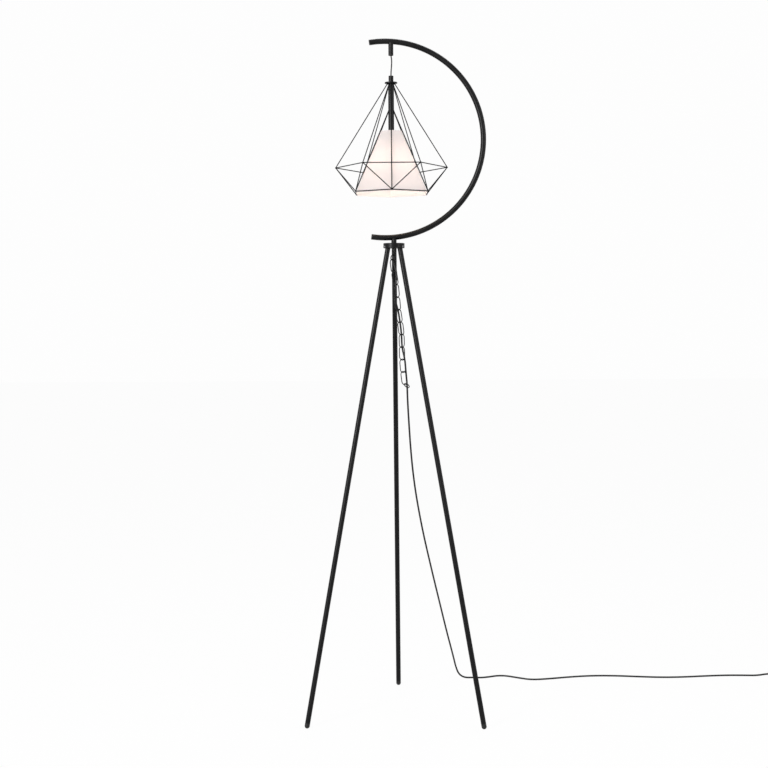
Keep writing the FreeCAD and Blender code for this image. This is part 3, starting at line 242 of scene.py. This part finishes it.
def powder_coat_group():
    """Fine pebbled texture of a baked coat, with another tint and more roughness where it is worn."""
    group, given, out = new_group("powder_coat", [
        ("Color", "NodeSocketColor", (0.02, 0.02, 0.02, 1)),
        ("Worn Color", "NodeSocketColor", (0.05, 0.05, 0.05, 1)),
        ("Grain", "NodeSocketFloat", 1800.0),
        ("Roughness", "NodeSocketFloat", 0.4),
        ("Spread", "NodeSocketFloat", 0.1),
    ])
    link = group.links.new
    place = group.nodes.new("ShaderNodeTexCoord")
    pebbles = add(group, "ShaderNodeTexNoise", Detail=3.0, Roughness=0.6)
    link(place.outputs["Object"], pebbles.inputs["Vector"])
    link(given.outputs["Grain"], pebbles.inputs["Scale"])
    marks = add(group, "ShaderNodeTexNoise", Scale=22.0, Detail=6.0, Roughness=0.65)
    link(place.outputs["Object"], marks.inputs["Vector"])
    mask = add(group, "ShaderNodeMapRange", From_Min=0.45, From_Max=0.75)
    link(marks.outputs["Fac"], mask.inputs["Value"])
    tint = colour_mix(group, mask.outputs["Result"], given.outputs["Color"], given.outputs["Worn Color"])
    link(tint, out.inputs["Color"])
    spread = math_node(group, "MULTIPLY", mask.outputs["Result"], given.outputs["Spread"])
    link(math_node(group, "ADD", given.outputs["Roughness"], spread), out.inputs["Roughness"])
    link(pebbles.outputs["Fac"], out.inputs["Height"])
    return group


def moulded_group():
    """Spark-eroded grain of a moulded part, with slight shine where hands and feet rub."""
    group, given, out = new_group("moulded_grain", [
        ("Color", "NodeSocketColor", (0.02, 0.02, 0.02, 1)),
        ("Grain", "NodeSocketFloat", 2400.0),
        ("Roughness", "NodeSocketFloat", 0.5),
        ("Rub", "NodeSocketFloat", 0.15),
    ])
    link = group.links.new
    place = group.nodes.new("ShaderNodeTexCoord")
    cells = add(group, "ShaderNodeTexVoronoi", Randomness=1.0)
    link(place.outputs["Object"], cells.inputs["Vector"])
    link(given.outputs["Grain"], cells.inputs["Scale"])
    rub = add(group, "ShaderNodeTexNoise", Scale=60.0, Detail=4.0)
    link(place.outputs["Object"], rub.inputs["Vector"])
    less = math_node(group, "MULTIPLY", rub.outputs["Fac"], given.outputs["Rub"])
    link(math_node(group, "SUBTRACT", given.outputs["Roughness"], less), out.inputs["Roughness"])
    shade = add(group, "ShaderNodeMapRange", From_Min=0.3, From_Max=0.7, To_Min=0.85, To_Max=1.2)
    link(rub.outputs["Fac"], shade.inputs["Value"])
    gain = group.nodes.new("ShaderNodeCombineColor")
    for channel in ("Red", "Green", "Blue"):
        link(shade.outputs["Result"], gain.inputs[channel])
    tint = colour_mix(group, 1.0, given.outputs["Color"], gain.outputs["Color"], "MULTIPLY")
    link(tint, out.inputs["Color"])
    link(cells.outputs["Distance"], out.inputs["Height"])
    return group


# ---------------------------------------------------------------- materials
def coated(name, group, color, worn, roughness, shine, grain=1800.0):
    """Coated metal, with its worn colour in patches."""
    material, tree, shader = new_material(name)
    height = use_group(tree, shader, group, Color=color, Worn_Color=worn, Grain=grain, Roughness=roughness)
    set_inputs(shader, Specular_IOR_Level=shine)
    bump(tree, shader, height, strength=0.35, distance=0.00004)
    return material


def moulded(name, group, color, roughness, grain=2400.0):
    """Plastic, rubber or thread with a fine grain."""
    material, tree, shader = new_material(name)
    height = use_group(tree, shader, group, Color=color, Grain=grain, Roughness=roughness)
    set_inputs(shader, Specular_IOR_Level=0.25)
    bump(tree, shader, height, strength=0.3, distance=0.00003)
    return material


def bare_metal(name, group, color, roughness):
    """Uncoated metal, darker and duller in patches."""
    material, tree, shader = new_material(name)
    tarnish = 0.7
    dark = tuple(c * tarnish for c in color[:3]) + (1,)
    height = use_group(tree, shader, group, Color=color, Worn_Color=dark, Grain=900.0, Roughness=roughness,
                       Spread=0.15)
    set_inputs(shader, Metallic=1.0)
    bump(tree, shader, height, strength=0.2, distance=0.00002)
    return material


def shade_material(name):
    """Off-white linen weave that lets the bulb's light through, with a painted glow of its own that evens
    out the lit cloth.
    """
    material, tree, shader = new_material(name)
    place = add(tree, "ShaderNodeUVMap", uv_map="cloth")
    threads = []
    for direction in ("X", "Y"):
        bands = add(tree, "ShaderNodeTexWave", bands_direction=direction, Scale=420.0, Distortion=1.2,
                    Detail=2.0, Detail_Scale=3.0)
        tree.links.new(place.outputs["UV"], bands.inputs["Vector"])
        threads.append(bands.outputs["Fac"])
    weave = math_node(tree, "MULTIPLY", *threads)
    slubs = add(tree, "ShaderNodeTexNoise", Scale=90.0, Detail=3.0)
    tree.links.new(place.outputs["UV"], slubs.inputs["Vector"])
    fill = math_node(tree, "MULTIPLY", math_node(tree, "ADD", weave, slubs.outputs["Fac"]), 0.5)
    tint = colour_mix(tree, fill, (0.87, 0.84, 0.82, 1), (0.97, 0.95, 0.93, 1))
    tree.links.new(tint, shader.inputs["Base Color"])
    # painted light: the cloth's emission stands in for the bulb's light shining evenly through it
    set_inputs(shader, Roughness=0.85, Sheen_Weight=0.2, Emission_Color=(1.0, 0.92, 0.88, 1),
               Emission_Strength=0.4)
    bump(tree, shader, fill, strength=0.25, distance=0.0001)
    through = add(tree, "ShaderNodeBsdfTranslucent", Color=(0.58, 0.53, 0.54, 1))
    mixed_surface(tree, 0.5, shader.outputs["BSDF"], through.outputs["BSDF"], "Material Output")
    return material


def bulb_material(name):
    """Frosted glass that glows, as it does with the lamp lit."""
    material, tree, shader = new_material(name)
    place = tree.nodes.new("ShaderNodeTexCoord")
    frost = add(tree, "ShaderNodeTexNoise", Scale=1500.0, Detail=2.0)
    tree.links.new(place.outputs["Object"], frost.inputs["Vector"])
    tint = colour_mix(tree, frost.outputs["Fac"], (0.95, 0.9, 0.82, 1), (1.0, 0.97, 0.92, 1))
    tree.links.new(tint, shader.inputs["Base Color"])
    set_inputs(shader, Roughness=0.4, Emission_Color=(1.0, 0.80, 0.58, 1), Emission_Strength=12.5)
    return material


def floor_material(name):
    """Nearly plain white to the camera and in reflections, and a pale surface to all other light."""
    material, tree, shader = new_material(name)
    set_inputs(shader, Base_Color=(FLOOR_WHITE, FLOOR_WHITE, FLOOR_WHITE, 1), Roughness=FLOOR_ROUGHNESS)
    glow = add(tree, "ShaderNodeEmission", Color=(1, 1, 1, 1), Strength=1.0)
    seen = math_node(tree, "MULTIPLY", ray_is(tree, "Is Camera Ray", "Is Glossy Ray"), FLOOR_GLOW)
    mixed_surface(tree, seen, shader.outputs["BSDF"], glow.outputs["Emission"], "Material Output")
    return material


def make_finishes(coat, moulding):
    """The material for each slot that the record names."""
    plastic = moulded("black_plastic", moulding, color=(0.012, 0.012, 0.012, 1), roughness=0.5)
    return {
        "black_metal": coated(
            "satin_black", coat, color=(0.003, 0.003, 0.0035, 1), worn=(0.008, 0.008, 0.008, 1),
            roughness=0.36, shine=0.14),
        "black_wire": coated(
            "black_wire", coat, color=(0.005, 0.005, 0.006, 1), worn=(0.010, 0.010, 0.010, 1),
            roughness=0.45, shine=0.1, grain=2600.0),
        "black_chain": coated(
            "black_chain", coat, color=(0.006, 0.006, 0.006, 1), worn=(0.02, 0.02, 0.02, 1),
            roughness=0.35, shine=0.15, grain=2600.0),
        "steel": bare_metal("zinc_steel", coat, color=(0.6, 0.6, 0.62, 1), roughness=0.3),
        "brass": bare_metal("stamped_brass", coat, color=(0.8, 0.6, 0.28, 1), roughness=0.25),
        "bulb_metal": bare_metal("bulb_shell", coat, color=(0.8, 0.8, 0.8, 1), roughness=0.25),
        "black_plastic": plastic,
        "tie_plastic": plastic,
        "switch_plastic": moulded("switch_black", moulding, color=(0.02, 0.02, 0.021, 1), roughness=0.42),
        "relief_rubber": moulded("relief_rubber", moulding, color=(0.018, 0.018, 0.018, 1), roughness=0.65),
        "switch_inside": moulded("switch_inside", moulding, color=(0.7, 0.66, 0.58, 1), roughness=0.5),
        "cord_black": moulded(
            "cord_sheath", moulding, color=(0.006, 0.006, 0.006, 1), roughness=0.5, grain=1500.0),
        "shade_cloth": shade_material("shade_linen"),
        "bulb_glass": bulb_material("frosted_glass"),
    }


# ---------------------------------------------------------------- mesh helpers
def from_bmesh(name, bm, material):
    """A smooth-shaded object with one material, from a bmesh that it frees."""
    bmesh.ops.recalc_face_normals(bm, faces=bm.faces)
    mesh = bpy.data.meshes.new(name)
    bm.to_mesh(mesh)
    bm.free()
    for polygon in mesh.polygons:
        polygon.use_smooth = True
    piece = bpy.data.objects.new(name, mesh)
    mesh.materials.append(material)
    bpy.context.scene.collection.objects.link(piece)
    return piece


def dress(node, material):
    """Gives a CAD node its material."""
    piece = NODES[node]
    if not piece.data.materials:
        piece.data.materials.append(material)
    for slot in piece.material_slots:
        slot.material = material


def cord_curve(name, route, diameter, material):
    """A round cord, smooth along a route in millimetres."""
    data = bpy.data.curves.new(name, "CURVE")
    data.dimensions = "3D"
    spline = data.splines.new("NURBS")
    spline.points.add(len(route) - 1)
    for point, place in zip(spline.points, route):
        point.co = [c * MM for c in place] + [1.0]
    spline.order_u = 3
    spline.use_endpoint_u = True
    spline.resolution_u = 12
    data.bevel_depth = diameter / 2
    data.bevel_resolution = 5
    data.use_fill_caps = True
    data.materials.append(material)
    piece = bpy.data.objects.new(name, data)
    bpy.context.scene.collection.objects.link(piece)
    return piece


def coil_route():
    """Control points of the wound length: in on the lower layer, up, and out on the upper one."""
    turns = TURNS_IN + TURNS_CLIMB + TURNS_OUT
    inner = COIL_OUTER_RADIUS - COIL_PITCH * TURNS_IN
    # the spline runs at 1/8, 6/8 and 1/8 of three neighbours, so its points stand outside the turns
    outside = 1 / (6 / 8 + 2 / 8 * math.cos(2 * math.pi / COIL_POINTS_PER_TURN))
    points = []
    for k in range(int(turns * COIL_POINTS_PER_TURN) + 1):
        turn = k / COIL_POINTS_PER_TURN
        if turn <= TURNS_IN:
            radius = COIL_OUTER_RADIUS - COIL_PITCH * turn
            height = 0.0
        elif turn < TURNS_IN + TURNS_CLIMB:
            u = (turn - TURNS_IN) / TURNS_CLIMB
            radius = inner - COIL_PITCH * TURNS_CLIMB * (u - u * u)
            height = COIL_PITCH * (3 * u ** 2 - 2 * u ** 3)
        else:
            radius = inner + COIL_PITCH * (turn - TURNS_IN - TURNS_CLIMB)
            height = COIL_PITCH
        angle = math.radians(COIL_START_ANGLE - 360.0 * turn)
        x = COIL_CENTRE[0] + radius * outside * math.cos(angle)
        y = COIL_CENTRE[1] + radius * outside * math.sin(angle)
        points.append((x, y, COIL_CENTRE[2] + height))
    return points


# ---------------------------------------------------------------- what repeats
def new_geometry_tree(name, **inputs):
    """A geometry tree with named inputs and a material; returns it with its input node."""
    tree = bpy.data.node_groups.new(name, "GeometryNodeTree")
    tree.interface.new_socket("Geometry", in_out="INPUT", socket_type="NodeSocketGeometry")
    for key, kind in inputs.items():
        tree.interface.new_socket(key.replace("_", " "), in_out="INPUT", socket_type=kind)
    tree.interface.new_socket("Material", in_out="INPUT", socket_type="NodeSocketMaterial")
    tree.interface.new_socket("Geometry", in_out="OUTPUT", socket_type="NodeSocketGeometry")
    return tree, tree.nodes.new("NodeGroupInput")


def finish_tree(tree, given, instances):
    """Ends a tree: real geometry, smooth, with its material."""
    real = tree.nodes.new("GeometryNodeRealizeInstances")
    smooth = tree.nodes.new("GeometryNodeSetShadeSmooth")
    paint = tree.nodes.new("GeometryNodeSetMaterial")
    out = tree.nodes.new("NodeGroupOutput")
    tree.links.new(instances, real.inputs["Geometry"])
    tree.links.new(real.outputs["Geometry"], smooth.inputs["Geometry"])
    tree.links.new(smooth.outputs["Geometry"], paint.inputs["Geometry"])
    tree.links.new(given.outputs["Material"], paint.inputs["Material"])
    tree.links.new(paint.outputs["Geometry"], out.inputs["Geometry"])
    return tree


def weld_bead_tree():
    """A small bead of weld, of its own size, on every point of the guide."""
    tree, given = new_geometry_tree(
        "weld_beads", Bead_Radius="NodeSocketFloat", Spread="NodeSocketFloat", Seed="NodeSocketInt")
    link = tree.links.new
    bead = add(tree, "GeometryNodeMeshIcoSphere", Subdivisions=3)
    link(given.outputs["Bead Radius"], bead.inputs["Radius"])
    size = add(tree, "FunctionNodeRandomValue", data_type="FLOAT")
    link(given.outputs["Seed"], size.inputs["Seed"])
    low = math_node(tree, "SUBTRACT", 1.0, given.outputs["Spread"])
    high = math_node(tree, "ADD", 1.0, given.outputs["Spread"])
    # inputs 2 and 3 and output 1 are the node's plain numbers
    link(low, size.inputs[2])
    link(high, size.inputs[3])
    place = tree.nodes.new("GeometryNodeInstanceOnPoints")
    link(given.outputs["Geometry"], place.inputs["Points"])
    link(bead.outputs["Mesh"], place.inputs["Instance"])
    link(size.outputs[1], place.inputs["Scale"])
    return finish_tree(tree, given, place.outputs["Instances"])


def path_points(tree, given, mode):
    """Points along a curve on the guide's edges."""
    curve = tree.nodes.new("GeometryNodeMeshToCurve")
    tree.links.new(given.outputs["Geometry"], curve.inputs["Mesh"])
    points = add(tree, "GeometryNodeCurveToPoints", mode=mode)
    tree.links.new(curve.outputs["Curve"], points.inputs["Curve"])
    return points


def stitch_tree():
    """Stitches of thread, one after another along the guide's edges."""
    tree, given = new_geometry_tree(
        "stitches", Spacing="NodeSocketFloat", Stitch_Length="NodeSocketFloat",
        Thread_Radius="NodeSocketFloat")
    link = tree.links.new
    points = path_points(tree, given, "LENGTH")
    link(given.outputs["Spacing"], points.inputs["Length"])
    thread = add(tree, "GeometryNodeMeshUVSphere", Segments=6, Rings=5)
    link(given.outputs["Thread Radius"], thread.inputs["Radius"])
    longer = math_node(tree, "DIVIDE", given.outputs["Stitch Length"], given.outputs["Thread Radius"])
    stretch = add(tree, "ShaderNodeCombineXYZ", X=1.0, Y=1.0)
    link(math_node(tree, "MULTIPLY", longer, 0.5), stretch.inputs["Z"])
    place = tree.nodes.new("GeometryNodeInstanceOnPoints")
    link(points.outputs["Points"], place.inputs["Points"])
    link(thread.outputs["Mesh"], place.inputs["Instance"])
    link(points.outputs["Rotation"], place.inputs["Rotation"])
    link(stretch.outputs["Vector"], place.inputs["Scale"])
    return finish_tree(tree, given, place.outputs["Instances"])


def rib_tree():
    """Round ribs along the guide's edge, from one radius to another, with a section in proportion."""
    tree, given = new_geometry_tree(
        "relief_ribs", Count="NodeSocketInt", First_Radius="NodeSocketFloat", Last_Radius="NodeSocketFloat",
        Section_Share="NodeSocketFloat")
    link = tree.links.new
    points = path_points(tree, given, "COUNT")
    link(given.outputs["Count"], points.inputs["Count"])
    loop = add(tree, "GeometryNodeCurvePrimitiveCircle", Resolution=32, Radius=1.0)
    section = add(tree, "GeometryNodeCurvePrimitiveCircle", Resolution=10)
    link(given.outputs["Section Share"], section.inputs["Radius"])
    ring = tree.nodes.new("GeometryNodeCurveToMesh")
    link(loop.outputs["Curve"], ring.inputs["Curve"])
    link(section.outputs["Curve"], ring.inputs["Profile Curve"])
    order = tree.nodes.new("GeometryNodeInputIndex")
    last = math_node(tree, "SUBTRACT", given.outputs["Count"], 1.0)
    share = math_node(tree, "DIVIDE", order.outputs["Index"], last)
    taper = math_node(tree, "SUBTRACT", given.outputs["Last Radius"], given.outputs["First Radius"])
    radius = math_node(tree, "ADD", given.outputs["First Radius"], math_node(tree, "MULTIPLY", taper, share))
    place = tree.nodes.new("GeometryNodeInstanceOnPoints")
    link(points.outputs["Points"], place.inputs["Points"])
    link(ring.outputs["Mesh"], place.inputs["Instance"])
    link(points.outputs["Rotation"], place.inputs["Rotation"])
    link(radius, place.inputs["Scale"])
    return finish_tree(tree, given, place.outputs["Instances"])


def repeated(name, tree, points, edges, material, **values):
    """Runs a tree over a guide of points and edges, and keeps the result as a plain mesh."""
    guide_mesh = bpy.data.meshes.new(name + "_guide")
    guide_mesh.from_pydata([tuple(p) for p in points], edges, [])
    guide = bpy.data.objects.new(name + "_guide", guide_mesh)
    bpy.context.scene.collection.objects.link(guide)
    modifier = guide.modifiers.new("repeat", "NODES")
    modifier.node_group = tree
    values["Material"] = material
    for item in tree.interface.items_tree:
        key = item.name.replace(" ", "_")
        if item.in_out == "INPUT" and key in values:
            modifier[item.identifier] = values[key]
    graph = bpy.context.evaluated_depsgraph_get()
    mesh = bpy.data.meshes.new_from_object(guide.evaluated_get(graph))
    bpy.data.objects.remove(guide)
    piece = bpy.data.objects.new(name, mesh)
    bpy.context.scene.collection.objects.link(piece)
    return piece


# ---------------------------------------------------------------- cage and shade
def cage_place(radius, z, side):
    """A point on the pendant's hexagon, counted in sides."""
    angle = math.radians(side * 360.0 / CAGE_SIDES)
    return Vector((PENDANT_X + radius * math.cos(angle), radius * math.sin(angle), z))


def make_welds(material):
    """Beads where the wires meet: at the top, the waist, the rim, and the ribs' upper ends."""
    points = []
    for k in range(CAGE_SIDES):
        points.append(cage_place(CAGE_TOP_RADIUS, WASHER_Z - WELD_RADIUS / 2, k))
        points.append(cage_place(WAIST_RADIUS, WAIST_Z, k))
        points.append(cage_place(RIM_RADIUS, RIM_Z, k + CORNER_OFFSET))
        points.append(cage_place(TUBE_RADIUS, RIB_TOP_Z, k + CORNER_OFFSET))
    welds = repeated("cage_welds", weld_bead_tree(), points, [], material, Bead_Radius=WELD_RADIUS,
                     Spread=WELD_SPREAD, Seed=WELD_SEED)
    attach(welds, "cage")


def shade_radius(z):
    """Out to the cloth's face at a corner: inside the ribs at the top, inside the rim below."""
    slope = (RIM_RADIUS - TUBE_RADIUS) / (RIB_TOP_Z - RIM_Z)
    top = (TUBE_RADIUS + slope * (RIB_TOP_Z - SHADE_TOP_Z)
           - (RIB_RADIUS + CLOTH_GAP) * math.sqrt(1 + slope ** 2))
    bottom = RIM_RADIUS - (WIRE_RADIUS + CLOTH_GAP) / math.cos(math.radians(180.0 / CAGE_SIDES))
    share = (z - SHADE_BOTTOM_Z) / (SHADE_TOP_Z - SHADE_BOTTOM_Z)
    return bottom + (top - bottom) * share


def cloth_tube(name, low, high, inset, rows, thickness, material):
    """A six-sided tube of stretched cloth between two heights, with a UV map in metres."""
    bm = bmesh.new()
    uv = bm.loops.layers.uv.new("cloth")
    span = SHADE_TOP_Z - SHADE_BOTTOM_Z
    slant = math.hypot(span, shade_radius(SHADE_BOTTOM_Z) - shade_radius(SHADE_TOP_Z)) / span
    places, flat = [], []
    for i in range(rows + 1):
        z = low + (high - low) * i / rows
        drawn = math.sin(math.pi * (z - SHADE_BOTTOM_Z) / span)
        ring, laid = [], []
        for k in range(CAGE_SIDES):
            ends = (k + CORNER_OFFSET, k + CORNER_OFFSET + 1)
            first, second = (cage_place(shade_radius(z) - inset, z, end) for end in ends)
            inwards = (Vector((PENDANT_X, 0, z)) - (first + second) / 2).normalized()
            for j in range(PANEL_COLUMNS):
                u = j / PANEL_COLUMNS
                hollow = CLOTH_HOLLOW * 4 * u * (1 - u) * max(drawn, 0.0)
                ring.append(bm.verts.new(first.lerp(second, u) + inwards * hollow))
                laid.append(((u - 0.5) * (second - first).length, (z - SHADE_BOTTOM_Z) * slant))
        places.append(ring)
        flat.append(laid)
    count = CAGE_SIDES * PANEL_COLUMNS
    for i in range(rows):
        for c in range(count):
            d = (c + 1) % count
            face = bm.faces.new((places[i][c], places[i][d], places[i + 1][d], places[i + 1][c]))
            last = (c + 1) % PANEL_COLUMNS == 0
            for loop, (row, column) in zip(face.loops, ((i, c), (i, d), (i + 1, d), (i + 1, c))):
                x, y = flat[row][column]
                # a panel's last edge is the next one's first, seen from the other side
                loop[uv].uv = (-x if last and column == d else x, y)
    piece = from_bmesh(name, bm, material)
    wall = piece.modifiers.new("wall", "SOLIDIFY")
    wall.thickness = thickness
    wall.offset = -1.0
    wall.use_rim = True
    corners = piece.modifiers.new("corners", "EDGE_SPLIT")
    corners.split_angle = math.radians(30)
    return piece


def make_shade_cloth(linen, thread):
    """The cloth on its ribs, with a hem inside each edge and stitches along it."""
    shade = cloth_tube("shade_cloth", SHADE_BOTTOM_Z, SHADE_TOP_Z, 0.0, SHADE_ROWS, CLOTH_THICKNESS, linen)
    hems = []
    for name, low in (("hem_bottom", SHADE_BOTTOM_Z), ("hem_top", SHADE_TOP_Z - HEM_HEIGHT)):
        hems.append(cloth_tube(name, low, low + HEM_HEIGHT, HEM_INSET, HEM_ROWS, HEM_THICKNESS, linen))
    points, edges = [], []
    for z in (SHADE_BOTTOM_Z + SEAM_HEIGHT, SHADE_TOP_Z - SEAM_HEIGHT):
        start = len(points)
        reach = shade_radius(z) - SEAM_INSET
        points += [cage_place(reach, z, k + CORNER_OFFSET) for k in range(CAGE_SIDES)]
        edges += [(start + k, start + (k + 1) % CAGE_SIDES) for k in range(CAGE_SIDES)]
    stitches = repeated("hem_stitches", stitch_tree(), points, edges, thread, Spacing=STITCH_SPACING,
                        Stitch_Length=STITCH_LENGTH, Thread_Radius=THREAD_RADIUS)
    for piece in [shade, stitches] + hems:
        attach(piece, "cage")
    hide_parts("shade")
    low, high = shade_radius(SHADE_BOTTOM_Z), shade_radius(SHADE_TOP_Z)


# ---------------------------------------------------------------- cords, switch and plug trim
def make_relief_ribs(material):
    """Ribs of the strain reliefs, on both sides of the switch and behind the plug."""
    x, y, z = SWITCH_CENTRE
    runs = []
    for side in (-1, 1):
        start = x + side * SWITCH_HALF_LENGTH
        runs.append(((start, y, z), (start + side * RELIEF_LENGTH, y, z)))
    runs.append(((PLUG_CENTRE_X, PLUG_BACK_Y, PLUG_AXIS_Z), (PLUG_CENTRE_X, PLUG_RELIEF_Y, PLUG_AXIS_Z)))
    tree = rib_tree()
    shares = (RELIEF_FIRST_SHARE, RELIEF_LAST_SHARE)
    ribs = []
    for name, (start, end) in zip(("ribs_in", "ribs_out", "ribs_plug"), runs):
        points = [Vector(start).lerp(Vector(end), share) for share in shares]
        piece = repeated(name, tree, points, [(0, 1)], material, Count=RELIEF_RIBS,
                         First_Radius=RELIEF_FIRST_RADIUS, Last_Radius=RELIEF_LAST_RADIUS,
                         Section_Share=RELIEF_SECTION_SHARE)
        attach(piece, "base")
        ribs.append(piece)
    return ribs


def make_cords(sheath):
    """The mains cord, the lead from switch to plug with its coil, and the pendant's short cord."""
    cord = cord_curve("cord_to_switch", MAINS_ROUTE, CORD_DIAMETER, sheath)
    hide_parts("mains_cord")
    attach(cord, "base")

    lead = cord_curve("cord_from_switch", LEAD_IN + coil_route() + LEAD_OUT, CORD_DIAMETER, sheath)
    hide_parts("lead_run", "cord_coil", "lead_tail")
    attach(lead, "base")

    hanger = cord_curve("hanging_cord", PENDANT_ROUTE, LAMP_WIRE_DIAMETER, sheath)
    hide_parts("pendant_cord")
    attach(hanger, "pendant_cord")


# ---------------------------------------------------------------- studio
def make_floor():
    """A plain square on the ground, far wider than the view."""
    bm = bmesh.new()
    signs = ((-1, -1), (1, -1), (1, 1), (-1, 1))
    bm.faces.new([bm.verts.new((x * FLOOR_REACH, y * FLOOR_REACH, 0.0)) for x, y in signs])
    floor = from_bmesh("floor", bm, floor_material("floor_white"))


def make_world():
    """White behind the lamp, and a weaker even light from all sides."""
    world = bpy.data.worlds.new("studio")
    bpy.context.scene.world = world
    world.use_nodes = True
    tree = world.node_tree
    plain = tree.nodes["Background"]
    set_inputs(plain, Color=(1, 1, 1, 1), Strength=WORLD_LIGHT)
    seen = add(tree, "ShaderNodeBackground", Color=(1, 1, 1, 1), Strength=WORLD_SEEN)
    sees = ray_is(tree, "Is Camera Ray", "Is Glossy Ray", "Is Transmission Ray")
    mixed_surface(tree, sees, plain.outputs["Background"], seen.outputs["Background"], "World Output")


def area_light(name, place, target, size, power):
    """A rectangular lamp that points at its target."""
    data = bpy.data.lights.new(name, "AREA")
    data.shape = "RECTANGLE"
    data.size, data.size_y = size
    data.energy = power
    lamp = bpy.data.objects.new(name, data)
    lamp.location = place
    lamp.rotation_euler = (Vector(target) - Vector(place)).to_track_quat("-Z", "Y").to_euler()
    bpy.context.scene.collection.objects.link(lamp)
    return lamp


def make_lights():
    """Three soft lamps, and one for reflections alone."""
    area_light("softbox_left", place=(-2.0, -2.4, 1.9), target=(0, 0, 1.1), size=(0.4, 3.0), power=50)
    area_light("softbox_right", place=(2.4, -1.8, 1.8), target=(0, 0, 0.9), size=(0.9, 1.8), power=25)
    area_light("top_strip", place=(0.3, 0.8, 3.2), target=(0, 0, 1.0), size=(1.6, 0.6), power=20)
    strip = area_light(
        "highlight_strip", place=(-2.0, -2.4, 2.2), target=(0, 0, 1.1), size=(0.9, 2.2), power=120)
    # a highlight along the tubes, with no more diffuse light on the cloth and the floor
    strip.visible_diffuse = False


# ---------------------------------------------------------------- build
def main():
    bpy.context.scene.view_settings.view_transform = "Standard"
    set_camera()
    make_floor()
    make_world()
    make_lights()

    coat = powder_coat_group()
    moulding = moulded_group()
    finish_of = make_finishes(coat, moulding)
    thread = moulded("cotton_thread", moulding, color=(0.85, 0.8, 0.72, 1), roughness=0.85, grain=900.0)
    for part in frame["record"]["subparts"]:
        dress(part["node"], finish_of[part["material_slot"]])

    make_welds(finish_of["black_wire"])
    make_shade_cloth(finish_of["shade_cloth"], thread)
    ribs = make_relief_ribs(finish_of["relief_rubber"])
    make_cords(finish_of["cord_black"])


main()
